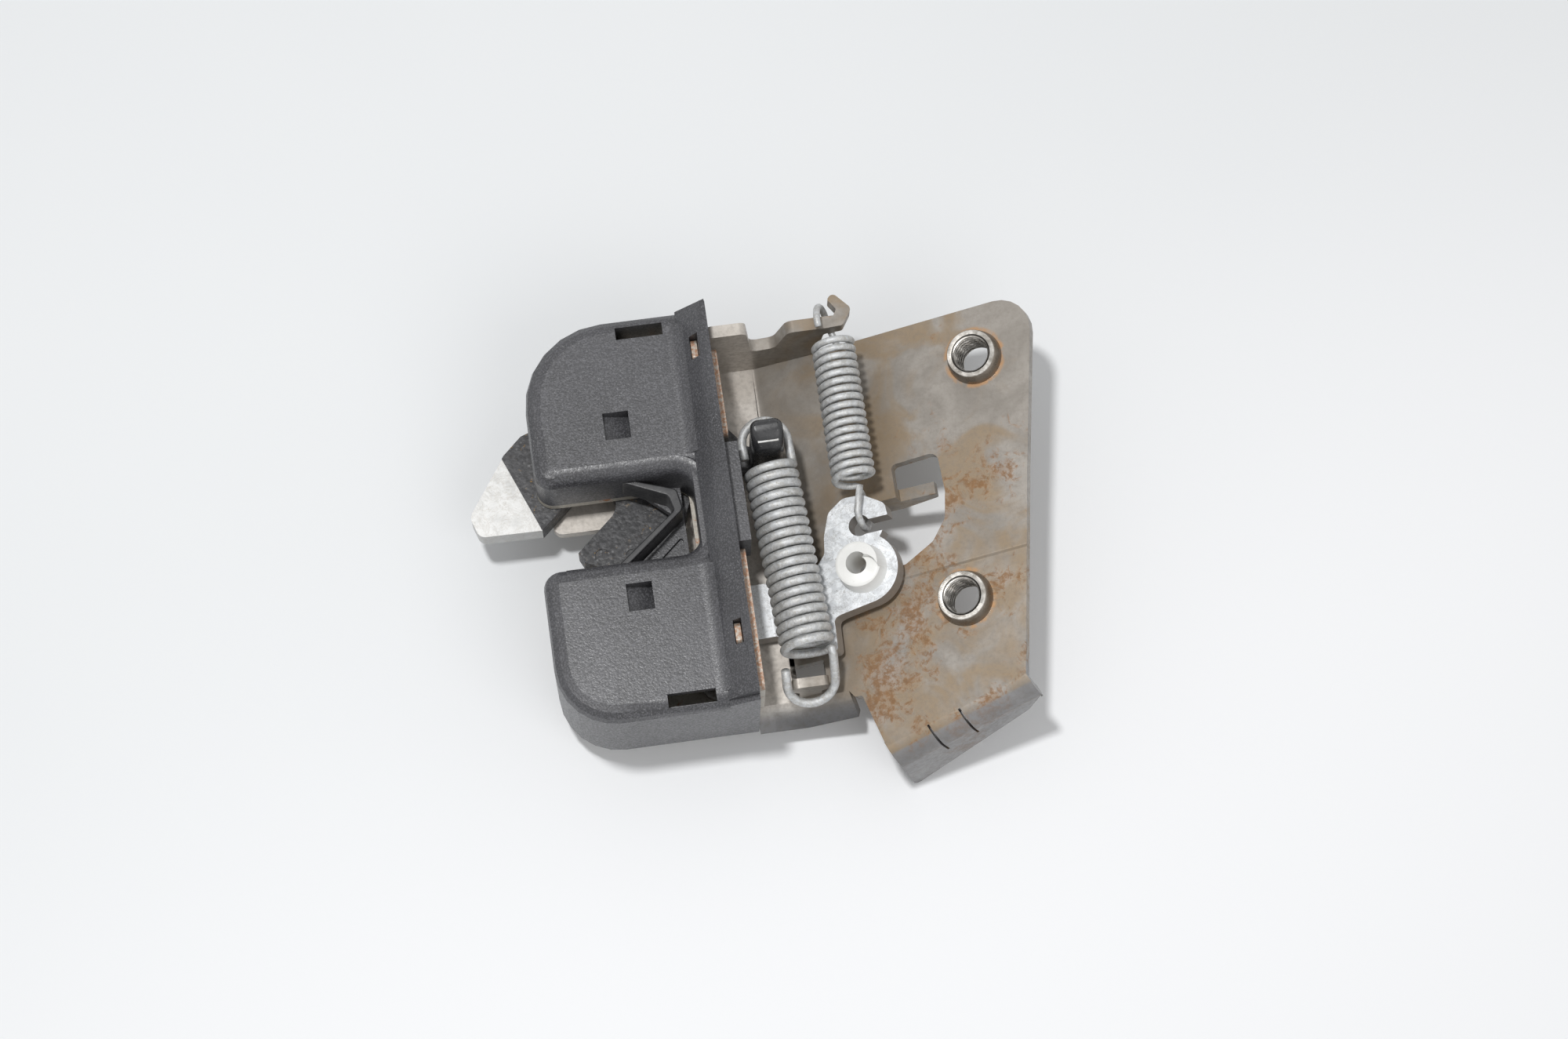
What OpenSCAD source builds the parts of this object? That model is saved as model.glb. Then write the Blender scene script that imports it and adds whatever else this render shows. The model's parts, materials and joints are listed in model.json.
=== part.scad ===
// Seat backrest lock: a rotary claw catches a floor striker, a pawl lever holds it.
// Origin: axis of the caught striker on the top face of the base plate.
// X runs along the striker slot towards the fixing wing, Y across it, Z up through the stack.

/* [Sheet metal] */
// Thickness of the base plate and its wing
base_t = 2.5; // [2:0.1:2.9]
// Thickness of the front plate
front_t = 2; // [1.5:0.1:2.4]
// Space between base plate and front plate
plate_gap = 6.5; // [6.5:0.1:7.5]
// Inside radius of the sheet metal bends
bend_r = 1.5; // [1:0.1:2]

/* [Base plate] */
// Half width of the striker slot
slot_half = 5.1; // [4.5:0.1:5.4]
// Left edge of the base plate
base_left = 20.6; // [19.5:0.1:20.8]
// Inner face of the upper flange
flange_y = 35; // [35:0.1:35.4]
// Height of the upper flange at the front plate
flange_h = 21.5; // [19:0.5:23]
// Height of the spring arm of the upper flange
arm_h = 19; // [17.5:0.5:20]
// Distance from the slot to the fold of the lower skirt
skirt_y = 35.9; // [35.5:0.1:36.2]
// Length of the lower skirt
skirt_len = 6.4; // [5:0.1:7.5]
// Slope of the lower skirt
skirt_angle = 45; // [40:1:50]
// Height of the spring tab
tab_h = 8; // [7:0.1:9]

/* [Wing] */
// Distance from the slot end to the wing bend
wing_x = 24.2; // [24:0.1:25]
// Angle of the wing
wing_angle = 20; // [18:0.5:21]
// Distance along the wing to its upper outer corner
wing_len = 60; // [58:0.1:63]
// Depth of the lower lip
lip_h = 19; // [15:0.5:22]
// Slope of the lip along the wing
lip_angle = 21.5; // [20:0.5:22.5]

/* [Threaded collars] */
// Wall diameter inside the collar, the crest line of its thread
collar_bore = 6.8; // [6.6:0.1:7]
// Outside diameter at the plate
collar_d = 11.3; // [11:0.1:12]
// Outside diameter at the rim
collar_rim_d = 10.4; // [9.8:0.1:10.8]
// Height of the rim above the wing
collar_rise = 3; // [2:0.1:4]
// Diameter of the shoulder behind the wing
collar_foot_d = 14; // [13:0.1:15]
// Thickness of the shoulder behind the wing
collar_foot_t = 2.8; // [2:0.1:3.5]

/* [Cover] */
// Height of the cover above the base plate
cover_h = 22; // [21:0.1:23]
// Wall of the cover
cover_wall = 1.8; // [1.5:0.1:2]
// Reach of the cover below the base plate's top face
cover_skirt = 3; // [2.6:0.1:3.5]
// Rounding of the cover's top edge
cover_edge_r = 3; // [2:0.1:3.4]
// Height of the raised lip at the cover's upper end
lip_top = 29; // [27:0.5:30]
// Height of the raised lip at the cover's lower end
lip_low = 26; // [25:0.5:27]

/* [Claw] */
// Thickness of the claw's steel
claw_t = 4.8; // [4.5:0.1:5]
// Height of the steel above the base plate
claw_lift = 0.9; // [0.8:0.1:1]
// Thickness of the moulding on each face of the claw
mould_t = 0.4; // [0.3:0.05:0.5]
// Wall of the moulding round the claw's edge
mould_wall = 1.2; // [1:0.1:1.4]
// Diameter of the claw's pivot
claw_pin_d = 11; // [10:0.1:12]
// Radius of the claw's outer arc
claw_r = 31.1; // [30.8:0.1:31.2]
// Width of the claw's mouth
mouth_w = 8.66; // [8.4:0.02:9]
// Height of the spring post
post_h = 25; // [23:0.5:26]

/* [Pawl lever] */
// Thickness of the lever
lever_t = 4; // [3.5:0.1:4.2]
// Height of the lever above the base plate
lever_lift = 1; // [0.8:0.1:1.2]
// Height of the lever above the wing
lever_gap = 2; // [1.8:0.1:2.3]
// Diameter of the lever's pivot
pawl_pin_d = 8; // [7:0.1:9]
// Diameter of the rod bush at the lever
bush_d = 10; // [9:0.1:10.5]
// Hole of the rod bush
bush_hole_d = 4.5; // [4:0.1:5]
// Height of the rod bush above the lever
bush_h = 5.3; // [4.5:0.1:6]

/* [Springs] */
// Outside diameter of the claw spring
main_d = 11; // [10:0.1:11.2]
// Wire of the claw spring
main_wire = 1.8; // [1.5:0.1:1.9]
// Coils of the claw spring
main_turns = 19; // [12:1:20]
// Outside diameter of the lever spring
small_d = 9; // [8:0.1:9.4]
// Wire of the lever spring
small_wire = 1.4; // [1.2:0.1:1.5]
// Coils of the lever spring
small_turns = 17; // [12:1:18]

/* [Fits] */
// Radial clearance of each pivot
pivot_clear = 0.05; // [0.02:0.01:0.08]
// Gap between moving pieces that don't touch
run_gap = 0.3; // [0.3:0.05:0.4]
// Gap of the cover round the base plate
seat_gap = 0.15; // [0.1:0.05:0.25]

/* [Hidden] */

$fn = 48;
eps = 0.01;

// Pivots and rivets in plan
claw_pin = [0, 24];
pawl_pin = [-4, -17];
stop_pin = [-14.5, 31.9];
spacer_pin = [8, -32.6];
// Collars by their distance from the wing's outer end, and Y
collar_insets = [[13.7, 25.9], [23.6, -22.7]];
collar_places = [for (c = collar_insets) [wing_len - c.x, c.y]];

// Heights through the stack
front_z = plate_gap;
front_top = front_z + front_t;
claw_top = claw_lift + claw_t;
lever_top = lever_lift + lever_t;

// Unit vector
function unit(v) = v / norm(v);

// Points of a closed outline whose corners [x, y, r] are rounded with n steps
function rounded(c, n = 6) = [for (i = [0 : len(c) - 1])
  let (
    p = [c[i].x, c[i].y],
    a = c[(i + len(c) - 1) % len(c)],
    b = c[(i + 1) % len(c)],
    u = unit([a.x, a.y] - p),
    v = unit([b.x, b.y] - p),
    half = acos(u * v) / 2,
    mid = p + unit(u + v) * c[i].z / sin(half),
    from = p + u * c[i].z / tan(half) - mid,
    turn = (180 - 2 * half) * (cross(u, v) < 0 ? 1 : -1)
  )
  each c[i].z == 0 ? [p] : [for (k = [0 : n])
    let (w = atan2(from.y, from.x) + turn * k / n) mid + c[i].z * [cos(w), sin(w)]]];

// The same corners moved inwards by d, for an outline listed anticlockwise
function inset(c, d) = [for (i = [0 : len(c) - 1])
  let (
    p = [c[i].x, c[i].y],
    a = c[(i + len(c) - 1) % len(c)],
    b = c[(i + 1) % len(c)],
    u = unit([a.x, a.y] - p),
    v = unit([b.x, b.y] - p),
    half = acos(u * v) / 2,
    side = cross(u, v) < 0 ? 1 : -1,
    q = p + side * unit(u + v) * d / sin(half)
  )
  [q.x, q.y, c[i].z == 0 ? 0 : max(c[i].z - side * d, 0.2)]];

// Plate with a rounded outline
module plate(corners, z, t) {
  translate([0, 0, z]) linear_extrude(t) polygon(rounded(corners));
}

// Upright wall whose outline [x, z] stands at y and is t thick towards +Y
module wall_y(corners, y, t) {
  translate([0, y + t, 0]) rotate([90, 0, 0]) linear_extrude(t) polygon(rounded(corners));
}

// Upright wall whose outline [y, z] stands at x and is t thick towards +X
module wall_x(corners, x, t) {
  translate([x, 0, 0]) rotate([90, 0, 90]) linear_extrude(t) polygon(rounded(corners));
}

// Moves its children into the wing's own frame: s along the wing, Y, height over its face
module on_wing(lift = 0) {
  translate([wing_x, 0, 0]) rotate([0, -wing_angle, 0]) translate([0, 0, lift]) children();
}

// Cross-section of a sheet bent upwards by an angle, t thick, with its corner at the origin;
// each leg runs lap beyond the bend, sunk just under both faces of the flat sheet beside it
lap = 1;
sunk = 0.02;

function bend_profile(t, angle, r, steps = 5) =
  let (
    back = r * tan(angle / 2),
    far = (back + lap) * [cos(angle), sin(angle)],
    down = [sin(angle), -cos(angle)]
  )
  concat(
    [[-back - lap, -sunk]],
    [for (k = [0 : steps]) let (f = angle * k / steps) [-back, r] + (r + sunk) * [sin(f), -cos(f)]],
    [far + sunk * down, far + (t - sunk) * down],
    [for (k = [steps : -1 : 0]) let (f = angle * k / steps)
      [-back, r] + (r + t - sunk) * [sin(f), -cos(f)]],
    [[-back - lap, sunk - t]]
  );

// The bend between flat sheet and wing, from y0 on and len long
module wing_bend(t, y0, len) {
  translate([0, y0 + len, 0]) rotate([90, 0, 0]) linear_extrude(len)
    polygon(bend_profile(t, wing_angle, bend_r));
}

// Cover outline as two lobes beside the striker slot, [x, y, corner radius] anticlockwise
cover_right = 14.9;
cover_left_up = -23;
cover_left_low = -23.8;
// Outer walls of the cover, kept clear of the distance rivets
rivet_room = [9.8, 7.6];
cover_top_y = stop_pin.y + rivet_room[0];
cover_low_y = spacer_pin.y - rivet_room[1];
slot_in = 8;
slot_up = 8.6;
slot_low = -8.4;
upper_lobe = [[cover_left_up, slot_up, 3.5], [cover_right, slot_up, 0],
  [cover_right, cover_top_y, 0], [cover_left_up, cover_top_y, 17]];
lower_lobe = [[cover_left_low, cover_low_y, 12], [cover_right, cover_low_y, 0],
  [cover_right, slot_low, 0], [cover_left_low, slot_low, 3.5]];
// Heights in Y between which the left wall of the cover is open for the claw
hook_up = 27.3;
hook_low = -12.3;
// Inner faces of the cover's upper and lower walls
top_in = cover_top_y - cover_wall;
low_in = cover_low_y + cover_wall;

// Base plate
bend_back = bend_r * tan(wing_angle / 2);
wing_low_corner = [15.7, -48.6];
lip_len = wing_len - 27.6;
lip_foot = [-2, lip_len - 4.6];
// Fold of the lip in stretches [from, to, inside radius], parted by narrow slits
lip_folds = [[0, 9.4, 1.6], [9.9, 16.6, 4.8], [17.1, lip_len, 5.6]];
lip_out = lip_folds[0][2] + base_t;
lip_end_s = wing_low_corner + lip_len * [cos(lip_angle), sin(lip_angle)];
skirt_right = 9.8;
tab_x = [22.2, 29.6];
tab_y = -35.2;
tab_t = 2;
tab_window = 4.6;
arm_low = 15.8;

module base_flat() {
  edge = wing_x - bend_back;
  plate([
    [-base_left, slot_half, 2],
    [0, slot_half, 0],
    [0, -slot_half, 0],
    [-base_left, -slot_half, 2],
    [-base_left, low_in + seat_gap, 10],
    [cover_right, low_in + seat_gap, 0.8],
    [cover_right, -skirt_y, 0],
    [edge, -skirt_y, 0],
    [edge, flange_y + base_t, 0],
    [14, flange_y + base_t, 0],
    [14, top_in - seat_gap, 0.8],
    [-base_left, top_in - seat_gap, 15]
  ], -base_t, base_t);
}

module wing_sheet() {
  plate([
    [bend_back, -skirt_y, 0],
    [skirt_right, -skirt_y, 0],
    [10.9, -37.4, 0.6],
    [12.4, -37.4, 0.6],
    [wing_low_corner.x, wing_low_corner.y, 0],
    [lip_end_s.x, lip_end_s.y, 0],
    [wing_len - 7, 0.1, 0],
    [wing_len, 36.9, 6.5],
    [10, flange_y + 0.1, 0],
    [9, flange_y + lap, 0],
    [bend_back, flange_y + lap, 0]
  ], -base_t, base_t);
}

// Flange along the upper edge: a tall block, a saddle and the arm that holds a spring
module upper_flange() {
  wing_rise = tan(wing_angle);
  arm_reach = 12.6;
  wall_y([
    [14.8, -base_t, 0],
    [wing_x, -base_t, 0],
    [wing_x + arm_reach, arm_reach * wing_rise - base_t, 0],
    [38.4, arm_low, 1],
    [39.4, arm_low, 0],
    [39.4, arm_h, 0],
    [31, arm_h, 2],
    [28.5, 11.3, 2],
    [23.6, 10.6, 1.5],
    [22.6, flange_h, 1.5],
    [14.8, flange_h, 1]
  ], flange_y, base_t);
  translate([0, 0, arm_low]) linear_extrude(arm_h - arm_low) polygon(rounded([
    [38.8, flange_y, 0],
    [42.2, flange_y + 0.2, 1],
    [44.4, 38.6, 1],
    [41, 42.4, 1],
    [39.8, 41, 0.6],
    [41.4, 38.7, 0.6],
    [40.6, flange_y + base_t, 0],
    [38.8, flange_y + base_t, 0]
  ]));
}

// Skirt under the lower edge, first along the flat plate and then along the wing
module skirt(len) {
  rotate([skirt_angle, 0, 0]) translate([0, -skirt_len, -base_t]) cube([len, skirt_len, base_t]);
}

// The two stretches run into each other under the bend
skirt_mitre = (skirt_len * sin(skirt_angle) + base_t * cos(skirt_angle)) * tan(wing_angle / 2);

module lower_skirt() {
  flat_end = wing_x - bend_back + skirt_mitre;
  translate([cover_right + run_gap, -skirt_y, 0]) skirt(flat_end - cover_right - run_gap);
  on_wing() translate([bend_back - skirt_mitre, -skirt_y, 0])
    skirt(skirt_right - bend_back + skirt_mitre);
}

module spring_tab() {
  neck = 1.5;
  wall_y([
    [tab_x[0] + neck, -base_t, 0],
    [tab_x[1] - neck, -base_t / 2, 0],
    [tab_x[1] - neck, tab_h - 4.4, 0.5],
    [tab_x[1], tab_h - 3, 0.5],
    [tab_x[1], tab_h, 1],
    [tab_x[0], tab_h, 1.4],
    [tab_x[0], tab_h - 3, 0.5],
    [tab_x[0] + neck, tab_h - 4.4, 0.5]
  ], tab_y, tab_t);
}

// Frame of the lip: X along its fold, Y into the wing, Z up
module on_lip() {
  on_wing() translate([wing_low_corner.x, wing_low_corner.y, 0]) rotate([0, 0, lip_angle]) children();
}

// One stretch of the fold that turns the wing's edge down into the lip
module lip_fold(f) {
  translate([f[0], f[2] + base_t - lip_out, -base_t]) rotate([90, 0, 90]) linear_extrude(f[1] - f[0])
    polygon([for (p = bend_profile(base_t, 90, f[2])) [-p.x - f[2], -p.y]]);
}

// Lip bent down along the slanted lower edge of the wing
module wing_lip() {
  slit = -base_t - max([for (f = lip_folds) f[2]]) - lap;
  for (f = lip_folds)
    lip_fold(f);
  translate([0, base_t - lip_out, 0]) rotate([90, 0, 0]) linear_extrude(base_t) polygon(rounded(concat(
    [[lip_foot[1], -lip_h, 2], [lip_foot[0], -lip_h, 1.5]],
    [for (i = [0 : len(lip_folds) - 1])
      let (f = lip_folds[i])
      each concat(
        i == 0 ? [] : [[f[0], slit, 0]],
        [[f[0], -base_t - f[2], 0], [f[1], -base_t - f[2], 0]],
        i == len(lip_folds) - 1 ? [] : [[f[1], slit, 0]]
      )]
  )));
}

// What the wider folds and their slits take from the wing's edge
module lip_relief() {
  deep = [for (f = lip_folds) f[2] + base_t - lip_out];
  translate([lip_folds[0][1], -lap, -base_t - 1])
    cube([lip_folds[2][0] - lip_folds[0][1], deep[1] + lap, base_t + 2]);
  translate([lip_folds[2][0], -lap, -base_t - 1]) cube([lip_len, deep[2] + lap, base_t + 2]);
}

// Flange folded down at the wing's opening, with the free finger that reaches across it
module wing_finger() {
  wall_y([
    [13, -8.6, 1],
    [25, -8.6, 0],
    [33, -6.2, 1],
    [33, -3, 0.6],
    [26, -3, 1],
    [23.6, 0, 1],
    [13, 0, 0]
  ], 1, base_t);
}

module wing_opening() {
  translate([0, 0, -base_t - 1]) linear_extrude(base_t + 2) polygon(rounded([
    [12, -13.1, 2],
    [25.4, -13.1, 1],
    [31.7, -9.7, 3],
    [34.9, -5.5, 3],
    [35.8, 0, 3],
    [35.4, 8.4, 1.8],
    [25.6, 7.8, 1],
    [25.6, 1, 0],
    [12, 1, 0]
  ]));
}

module base_plate() {
  color("#958b80") difference() {
    union() {
      base_flat();
      translate([wing_x, 0, 0]) wing_bend(base_t, -skirt_y, skirt_y + flange_y + lap);
      difference() {
        on_wing() wing_sheet();
        on_lip() lip_relief();
      }
      on_lip() wing_lip();
      on_wing() wing_finger();
      upper_flange();
      lower_skirt();
      spring_tab();
    }
    translate([0, 0, -base_t - 1]) cylinder(r = slot_half, h = base_t + 2);
    rivet_holes(-base_t, base_t);
    on_wing(-base_t - 1) for (p = collar_places)
      translate(p) cylinder(d = collar_d, h = base_t + 2);
    on_wing() wing_opening();
    translate([tab_x[0] + 0.5, tab_y + tab_t, -base_t - 1]) cube([6.8, tab_window, base_t + 4]);
  }
}

// Threaded collar riveted into the wing from behind
module collar(place) {
  on_wing() translate(place) difference() {
    union() {
      translate([0, 0, -base_t - collar_foot_t]) cylinder(d = collar_foot_d, h = collar_foot_t);
      translate([0, 0, -base_t]) cylinder(d = collar_d, h = base_t);
      cylinder(d1 = collar_d, d2 = collar_rim_d, h = collar_rise);
    }
    translate([0, 0, -base_t - collar_foot_t - 1])
      cylinder(d = collar_bore, h = base_t + collar_foot_t + collar_rise + 2);
    translate([0, 0, collar_rise - 0.8]) cylinder(d1 = collar_bore, d2 = collar_bore + 1.7, h = 0.81);
  }
}

module upper_collar() {
  color("#b9b7b2") collar(collar_places[0]);
}

module lower_collar() {
  color("#b9b7b2") collar(collar_places[1]);
}

// Rivets: a neck through each plate, a shoulder between them and a head on either side
claw_neck = 7;
pawl_neck = 5.6;
spacer_neck = 3.6;
spacer_d = 5.4;
head_t = 1.5;

module rivet(place, shoulder, neck) {
  head = neck + 3.4;
  translate([place.x, place.y, 0]) {
    cylinder(d = shoulder, h = plate_gap);
    translate([0, 0, -base_t]) cylinder(d = neck, h = front_top + base_t);
    translate([0, 0, -base_t - head_t]) cylinder(d = head, h = head_t);
    translate([0, 0, front_top]) cylinder(d = head, h = head_t);
  }
}

// The holes for all rivets in a plate that starts at z and is t thick
module rivet_holes(z, t) {
  for (h = [[claw_pin, claw_neck], [pawl_pin, pawl_neck], [stop_pin, spacer_neck],
      [spacer_pin, spacer_neck]])
    translate([h[0].x, h[0].y, z - 1]) cylinder(d = h[1], h = t + 2);
}

module washer(place, pin_d, outer_d, t) {
  translate([place.x, place.y, 0]) difference() {
    cylinder(d = outer_d, h = t);
    translate([0, 0, -1]) cylinder(d = pin_d, h = t + 2);
  }
}

// Front plate over the claw and the pawl, with a flange on its right edge in two stretches
front_flange_x = 14.2;
front_flange_top = 21;
front_slot_in = 7.2;
upper_stretch = [14.5, 33.2];
lower_stretch = [-37.6, -8.7];
// Slots in the cover's lip and the catch tabs of the front plate that stand in them
catch_slots = [[11, 29.8], [11.6, -29]];
catch_slot = [1.6, 4.8];
catch_gap = 0.2;
catch_top = cover_h + 1.8;

module front_plate() {
  left_up = cover_left_up + cover_wall + seat_gap;
  left_low = cover_left_low + cover_wall + seat_gap;
  edge = front_flange_x + front_t;
  color("#a39a8f") difference() {
    union() {
      plate([
        [left_low, low_in + seat_gap, 10],
        [front_flange_x, low_in + seat_gap, 0.8],
        [front_flange_x, lower_stretch[0], 0],
        [edge, lower_stretch[0], 0],
        [edge, lower_stretch[1], 0.5],
        [front_flange_x, lower_stretch[1], 0],
        [front_flange_x, upper_stretch[0], 0],
        [edge, upper_stretch[0], 0.5],
        [edge, upper_stretch[1], 0],
        [14, upper_stretch[1], 0],
        [14, top_in - seat_gap, 0.8],
        [left_up, top_in - seat_gap, 15],
        [left_up, hook_up, 0],
        [cover_left_up, hook_up, 0],
        [cover_left_up, slot_up, 3.5],
        [front_slot_in, slot_up, 2],
        [front_slot_in, slot_low, 2],
        [cover_left_low, slot_low, 3.5],
        [cover_left_low, hook_low, 0],
        [left_low, hook_low, 0]
      ], front_z, front_t);
      for (y = [upper_stretch, lower_stretch])
        wall_x([
          [y[0], front_z, 0],
          [y[1], front_z, 0],
          [y[1], front_flange_top, 1.5],
          [y[0], front_flange_top, 1.5]
        ], front_flange_x, front_t);
      for (s = catch_slots)
        wall_x([
          [s.y + catch_gap, front_z, 0],
          [s.y + catch_slot.y - catch_gap, front_z, 0],
          [s.y + catch_slot.y - catch_gap, catch_top, 1],
          [s.y + catch_gap, catch_top, 1]
        ], s.x + catch_gap, catch_slot.x - 2 * catch_gap);
    }
    rivet_holes(front_z, front_t);
  }
}

// Cover: two rounded lobes, the sheet between them at the slot's inner end and a raised lip
crease_x = 9;
clip_y = [-8, 12.5];
pocket = [5.1, 5.6];
pocket_floor = 17;

module lobe(corners, z0, shrink) {
  c = [for (p = corners) [p.x == cover_right ? p.x + cover_edge_r + 1 : p.x, p.y, p.z]];
  r = cover_edge_r - shrink;
  top = cover_h - shrink;
  hull() {
    translate([0, 0, z0]) linear_extrude(top - r - z0) polygon(rounded(inset(c, shrink)));
    for (a = [30 : 30 : 90])
      translate([0, 0, top - r + r * sin(a) - eps]) linear_extrude(eps)
        polygon(rounded(inset(c, shrink + r * (1 - cos(a)))));
  }
}

// Slice of the raised lip at y, reaching up to height h
module lip_slice(y, h) {
  low = cover_h - cover_wall;
  wall_y([
    [crease_x, low, 0],
    [crease_x + 1.6, low, 0],
    [cover_right, h - 2.6, 0],
    [cover_right, h - 0.5, 0],
    [cover_right - 1, h, 0],
    [crease_x, cover_h, 0]
  ], y, eps);
}

// End wall under the raised lip from y, t thick, closing the cover's corner
module lip_end(y, h) {
  wall_y([
    [crease_x, -cover_skirt, 0],
    [cover_right, -cover_skirt, 0],
    [cover_right, h - 1, 0],
    [crease_x, cover_h - 1, 0]
  ], y, cover_wall);
}

// Small window through the cover's top, w along X and d along Y
module top_window(x, y, w, d) {
  translate([x, y, cover_h - cover_wall - 1]) cube([w, d, cover_wall + 12]);
}

module cover() {
  low_z = -cover_skirt;
  top_y = top_in + cover_wall;
  low_y = low_in - cover_wall;
  color("#4a494d") {
    difference() {
      union() {
        difference() {
          union() {
            lobe(upper_lobe, low_z, 0);
            lobe(lower_lobe, low_z, 0);
          }
          lobe(upper_lobe, low_z - 1, cover_wall);
          lobe(lower_lobe, low_z - 1, cover_wall);
          translate([crease_x, low_y - 1, low_z - 1]) cube([30, top_y - low_y + 2, 40]);
        }
        hull() {
          lip_slice(top_y - 1.2, lip_top);
          lip_slice(low_y + 1.2, lip_low);
        }
        lip_end(top_in, lip_top - 1.5);
        lip_end(low_y, lip_low - 1.5);
        translate([slot_in, slot_low - 1, front_top]) cube([cover_wall, slot_up - slot_low + 2,
          cover_h - front_top - 0.5]);
        cover_clip();
      }
      translate([-60, hook_low, low_z - 1]) cube([120, hook_up - hook_low, front_top - low_z + 1]);
      top_window(-3.3, 37, 9.4, 2.6);
      top_window(-2.8, -39, 9.4, 2.6);
      top_window(-8, 16.4, pocket.x, pocket.y);
      top_window(-7.9, -19, pocket.x, pocket.y);
      for (s = catch_slots)
        top_window(s.x, s.y, catch_slot.x, catch_slot.y);
      translate([-13.6, slot_up - 1, front_top - 1]) cube([7, cover_wall + 2, 3.4]);
    }
    cover_pocket(-8, 16.4);
    cover_pocket(-7.9, -19);
    cover_floor();
  }
}

// Closed pocket with a sloping floor that hangs under a window of the cover
module cover_pocket(x, y) {
  wall = 1;
  h = cover_h - cover_wall - pocket_floor;
  translate([x - wall, y - wall, pocket_floor]) difference() {
    cube([pocket.x + 2 * wall, pocket.y + 2 * wall, h + eps]);
    translate([wall, wall, wall]) cube([pocket.x, pocket.y, h + 1]);
  }
  wall_y([
    [x, pocket_floor + wall, 0],
    [x + pocket.x, pocket_floor + wall, 0],
    [x, cover_h - 2.2, 0]
  ], y, pocket.y);
}

// Clip that reaches over the front plate beside the lip
module cover_clip() {
  clip_reach = 2.7;
  translate([cover_right - 1, clip_y[0], 12])
    cube([clip_reach + 1, clip_y[1] - clip_y[0], lip_low - 3 - 12]);
  translate([crease_x, clip_y[0], 18]) cube([cover_right - crease_x, 1.2, lip_low - 8 - 18 + 4]);
}

// Floor of the slot behind the striker buffer, with a shallow three-cornered recess
module cover_floor() {
  difference() {
    translate([0, 0, front_top]) linear_extrude(2) polygon([
      [-3.5, slot_up + 0.5],
      [5.6, slot_up + 0.5],
      [5.6, slot_low - 0.5],
      [-5.6, slot_low - 0.5],
      [4.9, 1.5]
    ]);
    translate([0, 0, front_top + 1]) linear_extrude(2) polygon(rounded([
      [-1.8, -7.4, 0.3],
      [4.8, -7.4, 0.5],
      [4.8, -1.6, 0.5]
    ]));
  }
}

// Rubber buffer folded to a V that the striker runs into
buffer_h = 18;

module striker_buffer() {
  z = front_top + 2;
  color("#232326") plate([
    [-6, slot_up, 0],
    [2.8, 4.7, 1.2],
    [3.6, 1.6, 0.8],
    [-9, slot_low, 0],
    [-6.8, slot_low, 0],
    [5.4, 1.6, 1.4],
    [4.6, 5.9, 1.5],
    [-3.2, slot_up, 0]
  ], z, buffer_h - z);
}

// Claw outline round its pivot: hook, mouth side, outer arc, spring arm, hub and back
body_r = 12;
mouth_angle = 41.5;
mouth_end = [-11.8, 8.6];
claw_tip = [[-35.4, 4.9, 1.8], [-36.9, 9.4, 2.4]];
claw_back = [[-24.8, 24.9, 1.5], [-28.7, 21.3, 1]];
mouth_lip = [-16.2, -1.1];
// Where the moulding ends on the hook, and its slope there
mould_end = [-22.8, 4.7];
mould_end_angle = 21.4;
arm_root = [[6.6, 5, 3], [10, 13, 3]];
arm_side = 0.4;
hub_band = 3.8;
dimples = [[-5.4, -3.2], [-11.5, -2.4]];
dimple_d = 3.1;
dimple_deep = 0.25;
through = 12;
post_x = [20.4, 26.9];
post_y = [10, 16];
claw_outline = concat(
  [claw_tip[0], [mould_end.x, mould_end.y, 0.6], [mouth_lip.x, mouth_lip.y, 0]],
  [for (a = [-119.3 : 4.7 : -86]) [claw_pin.x + claw_r * cos(a), claw_pin.y + claw_r * sin(a), 0]],
  arm_root,
  [[post_x[1] + arm_side, post_y[0] - arm_side, 1.5], [post_x[1] + arm_side, post_y[1] + arm_side, 1.5],
    [post_x[0], post_y[1] + arm_side, 2]],
  [for (a = [20 : 13 : 150]) [claw_pin.x + body_r * cos(a), claw_pin.y + body_r * sin(a), 0]],
  claw_back,
  [claw_tip[1]]
);

// Mouth of the claw, grown by d
module mouth(d) {
  r = mouth_w / 2 + d;
  translate([mouth_end.x, mouth_end.y, -1]) rotate([0, 0, mouth_angle]) {
    cylinder(r = r, h = through);
    translate([-2 * claw_r, -r, 0]) cube([2 * claw_r, 2 * r, through]);
  }
}

// Space under the spring arm, which swings over the rising wing
arm_clear_x = 18.5;
arm_clear_z = 2.9;

module arm_clearance() {
  translate([arm_clear_x, post_y[0] - through, -1]) cube([through, 3 * through, arm_clear_z + 1]);
}

// Everything on the tip's side of the line where the moulding ends
module tip_side() {
  translate([mould_end.x, mould_end.y, -1]) rotate([0, 0, mould_end_angle])
    translate([-2 * claw_r, -2 * claw_r, 0]) cube([2 * claw_r, 4 * claw_r, through]);
}

module claw_plate() {
  core = mould_wall;
  color("#d3d4d0") difference() {
    union() {
      intersection() {
        plate(claw_outline, claw_lift, claw_t);
        tip_side();
      }
      difference() {
        plate(inset(claw_outline, mould_wall), claw_lift, claw_t);
        tip_side();
        mouth(mould_wall);
      }
      translate([post_x[0] + core, post_y[0] + core, claw_lift])
        cube([post_x[1] - post_x[0] - 2 * core, post_y[1] - post_y[0] - 2 * core, post_h - core - claw_lift]);
    }
    mouth(0);
    arm_clearance();
    translate([claw_pin.x, claw_pin.y, -1]) cylinder(d = claw_pin_d + 2 * pivot_clear, h = through);
  }
}

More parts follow.
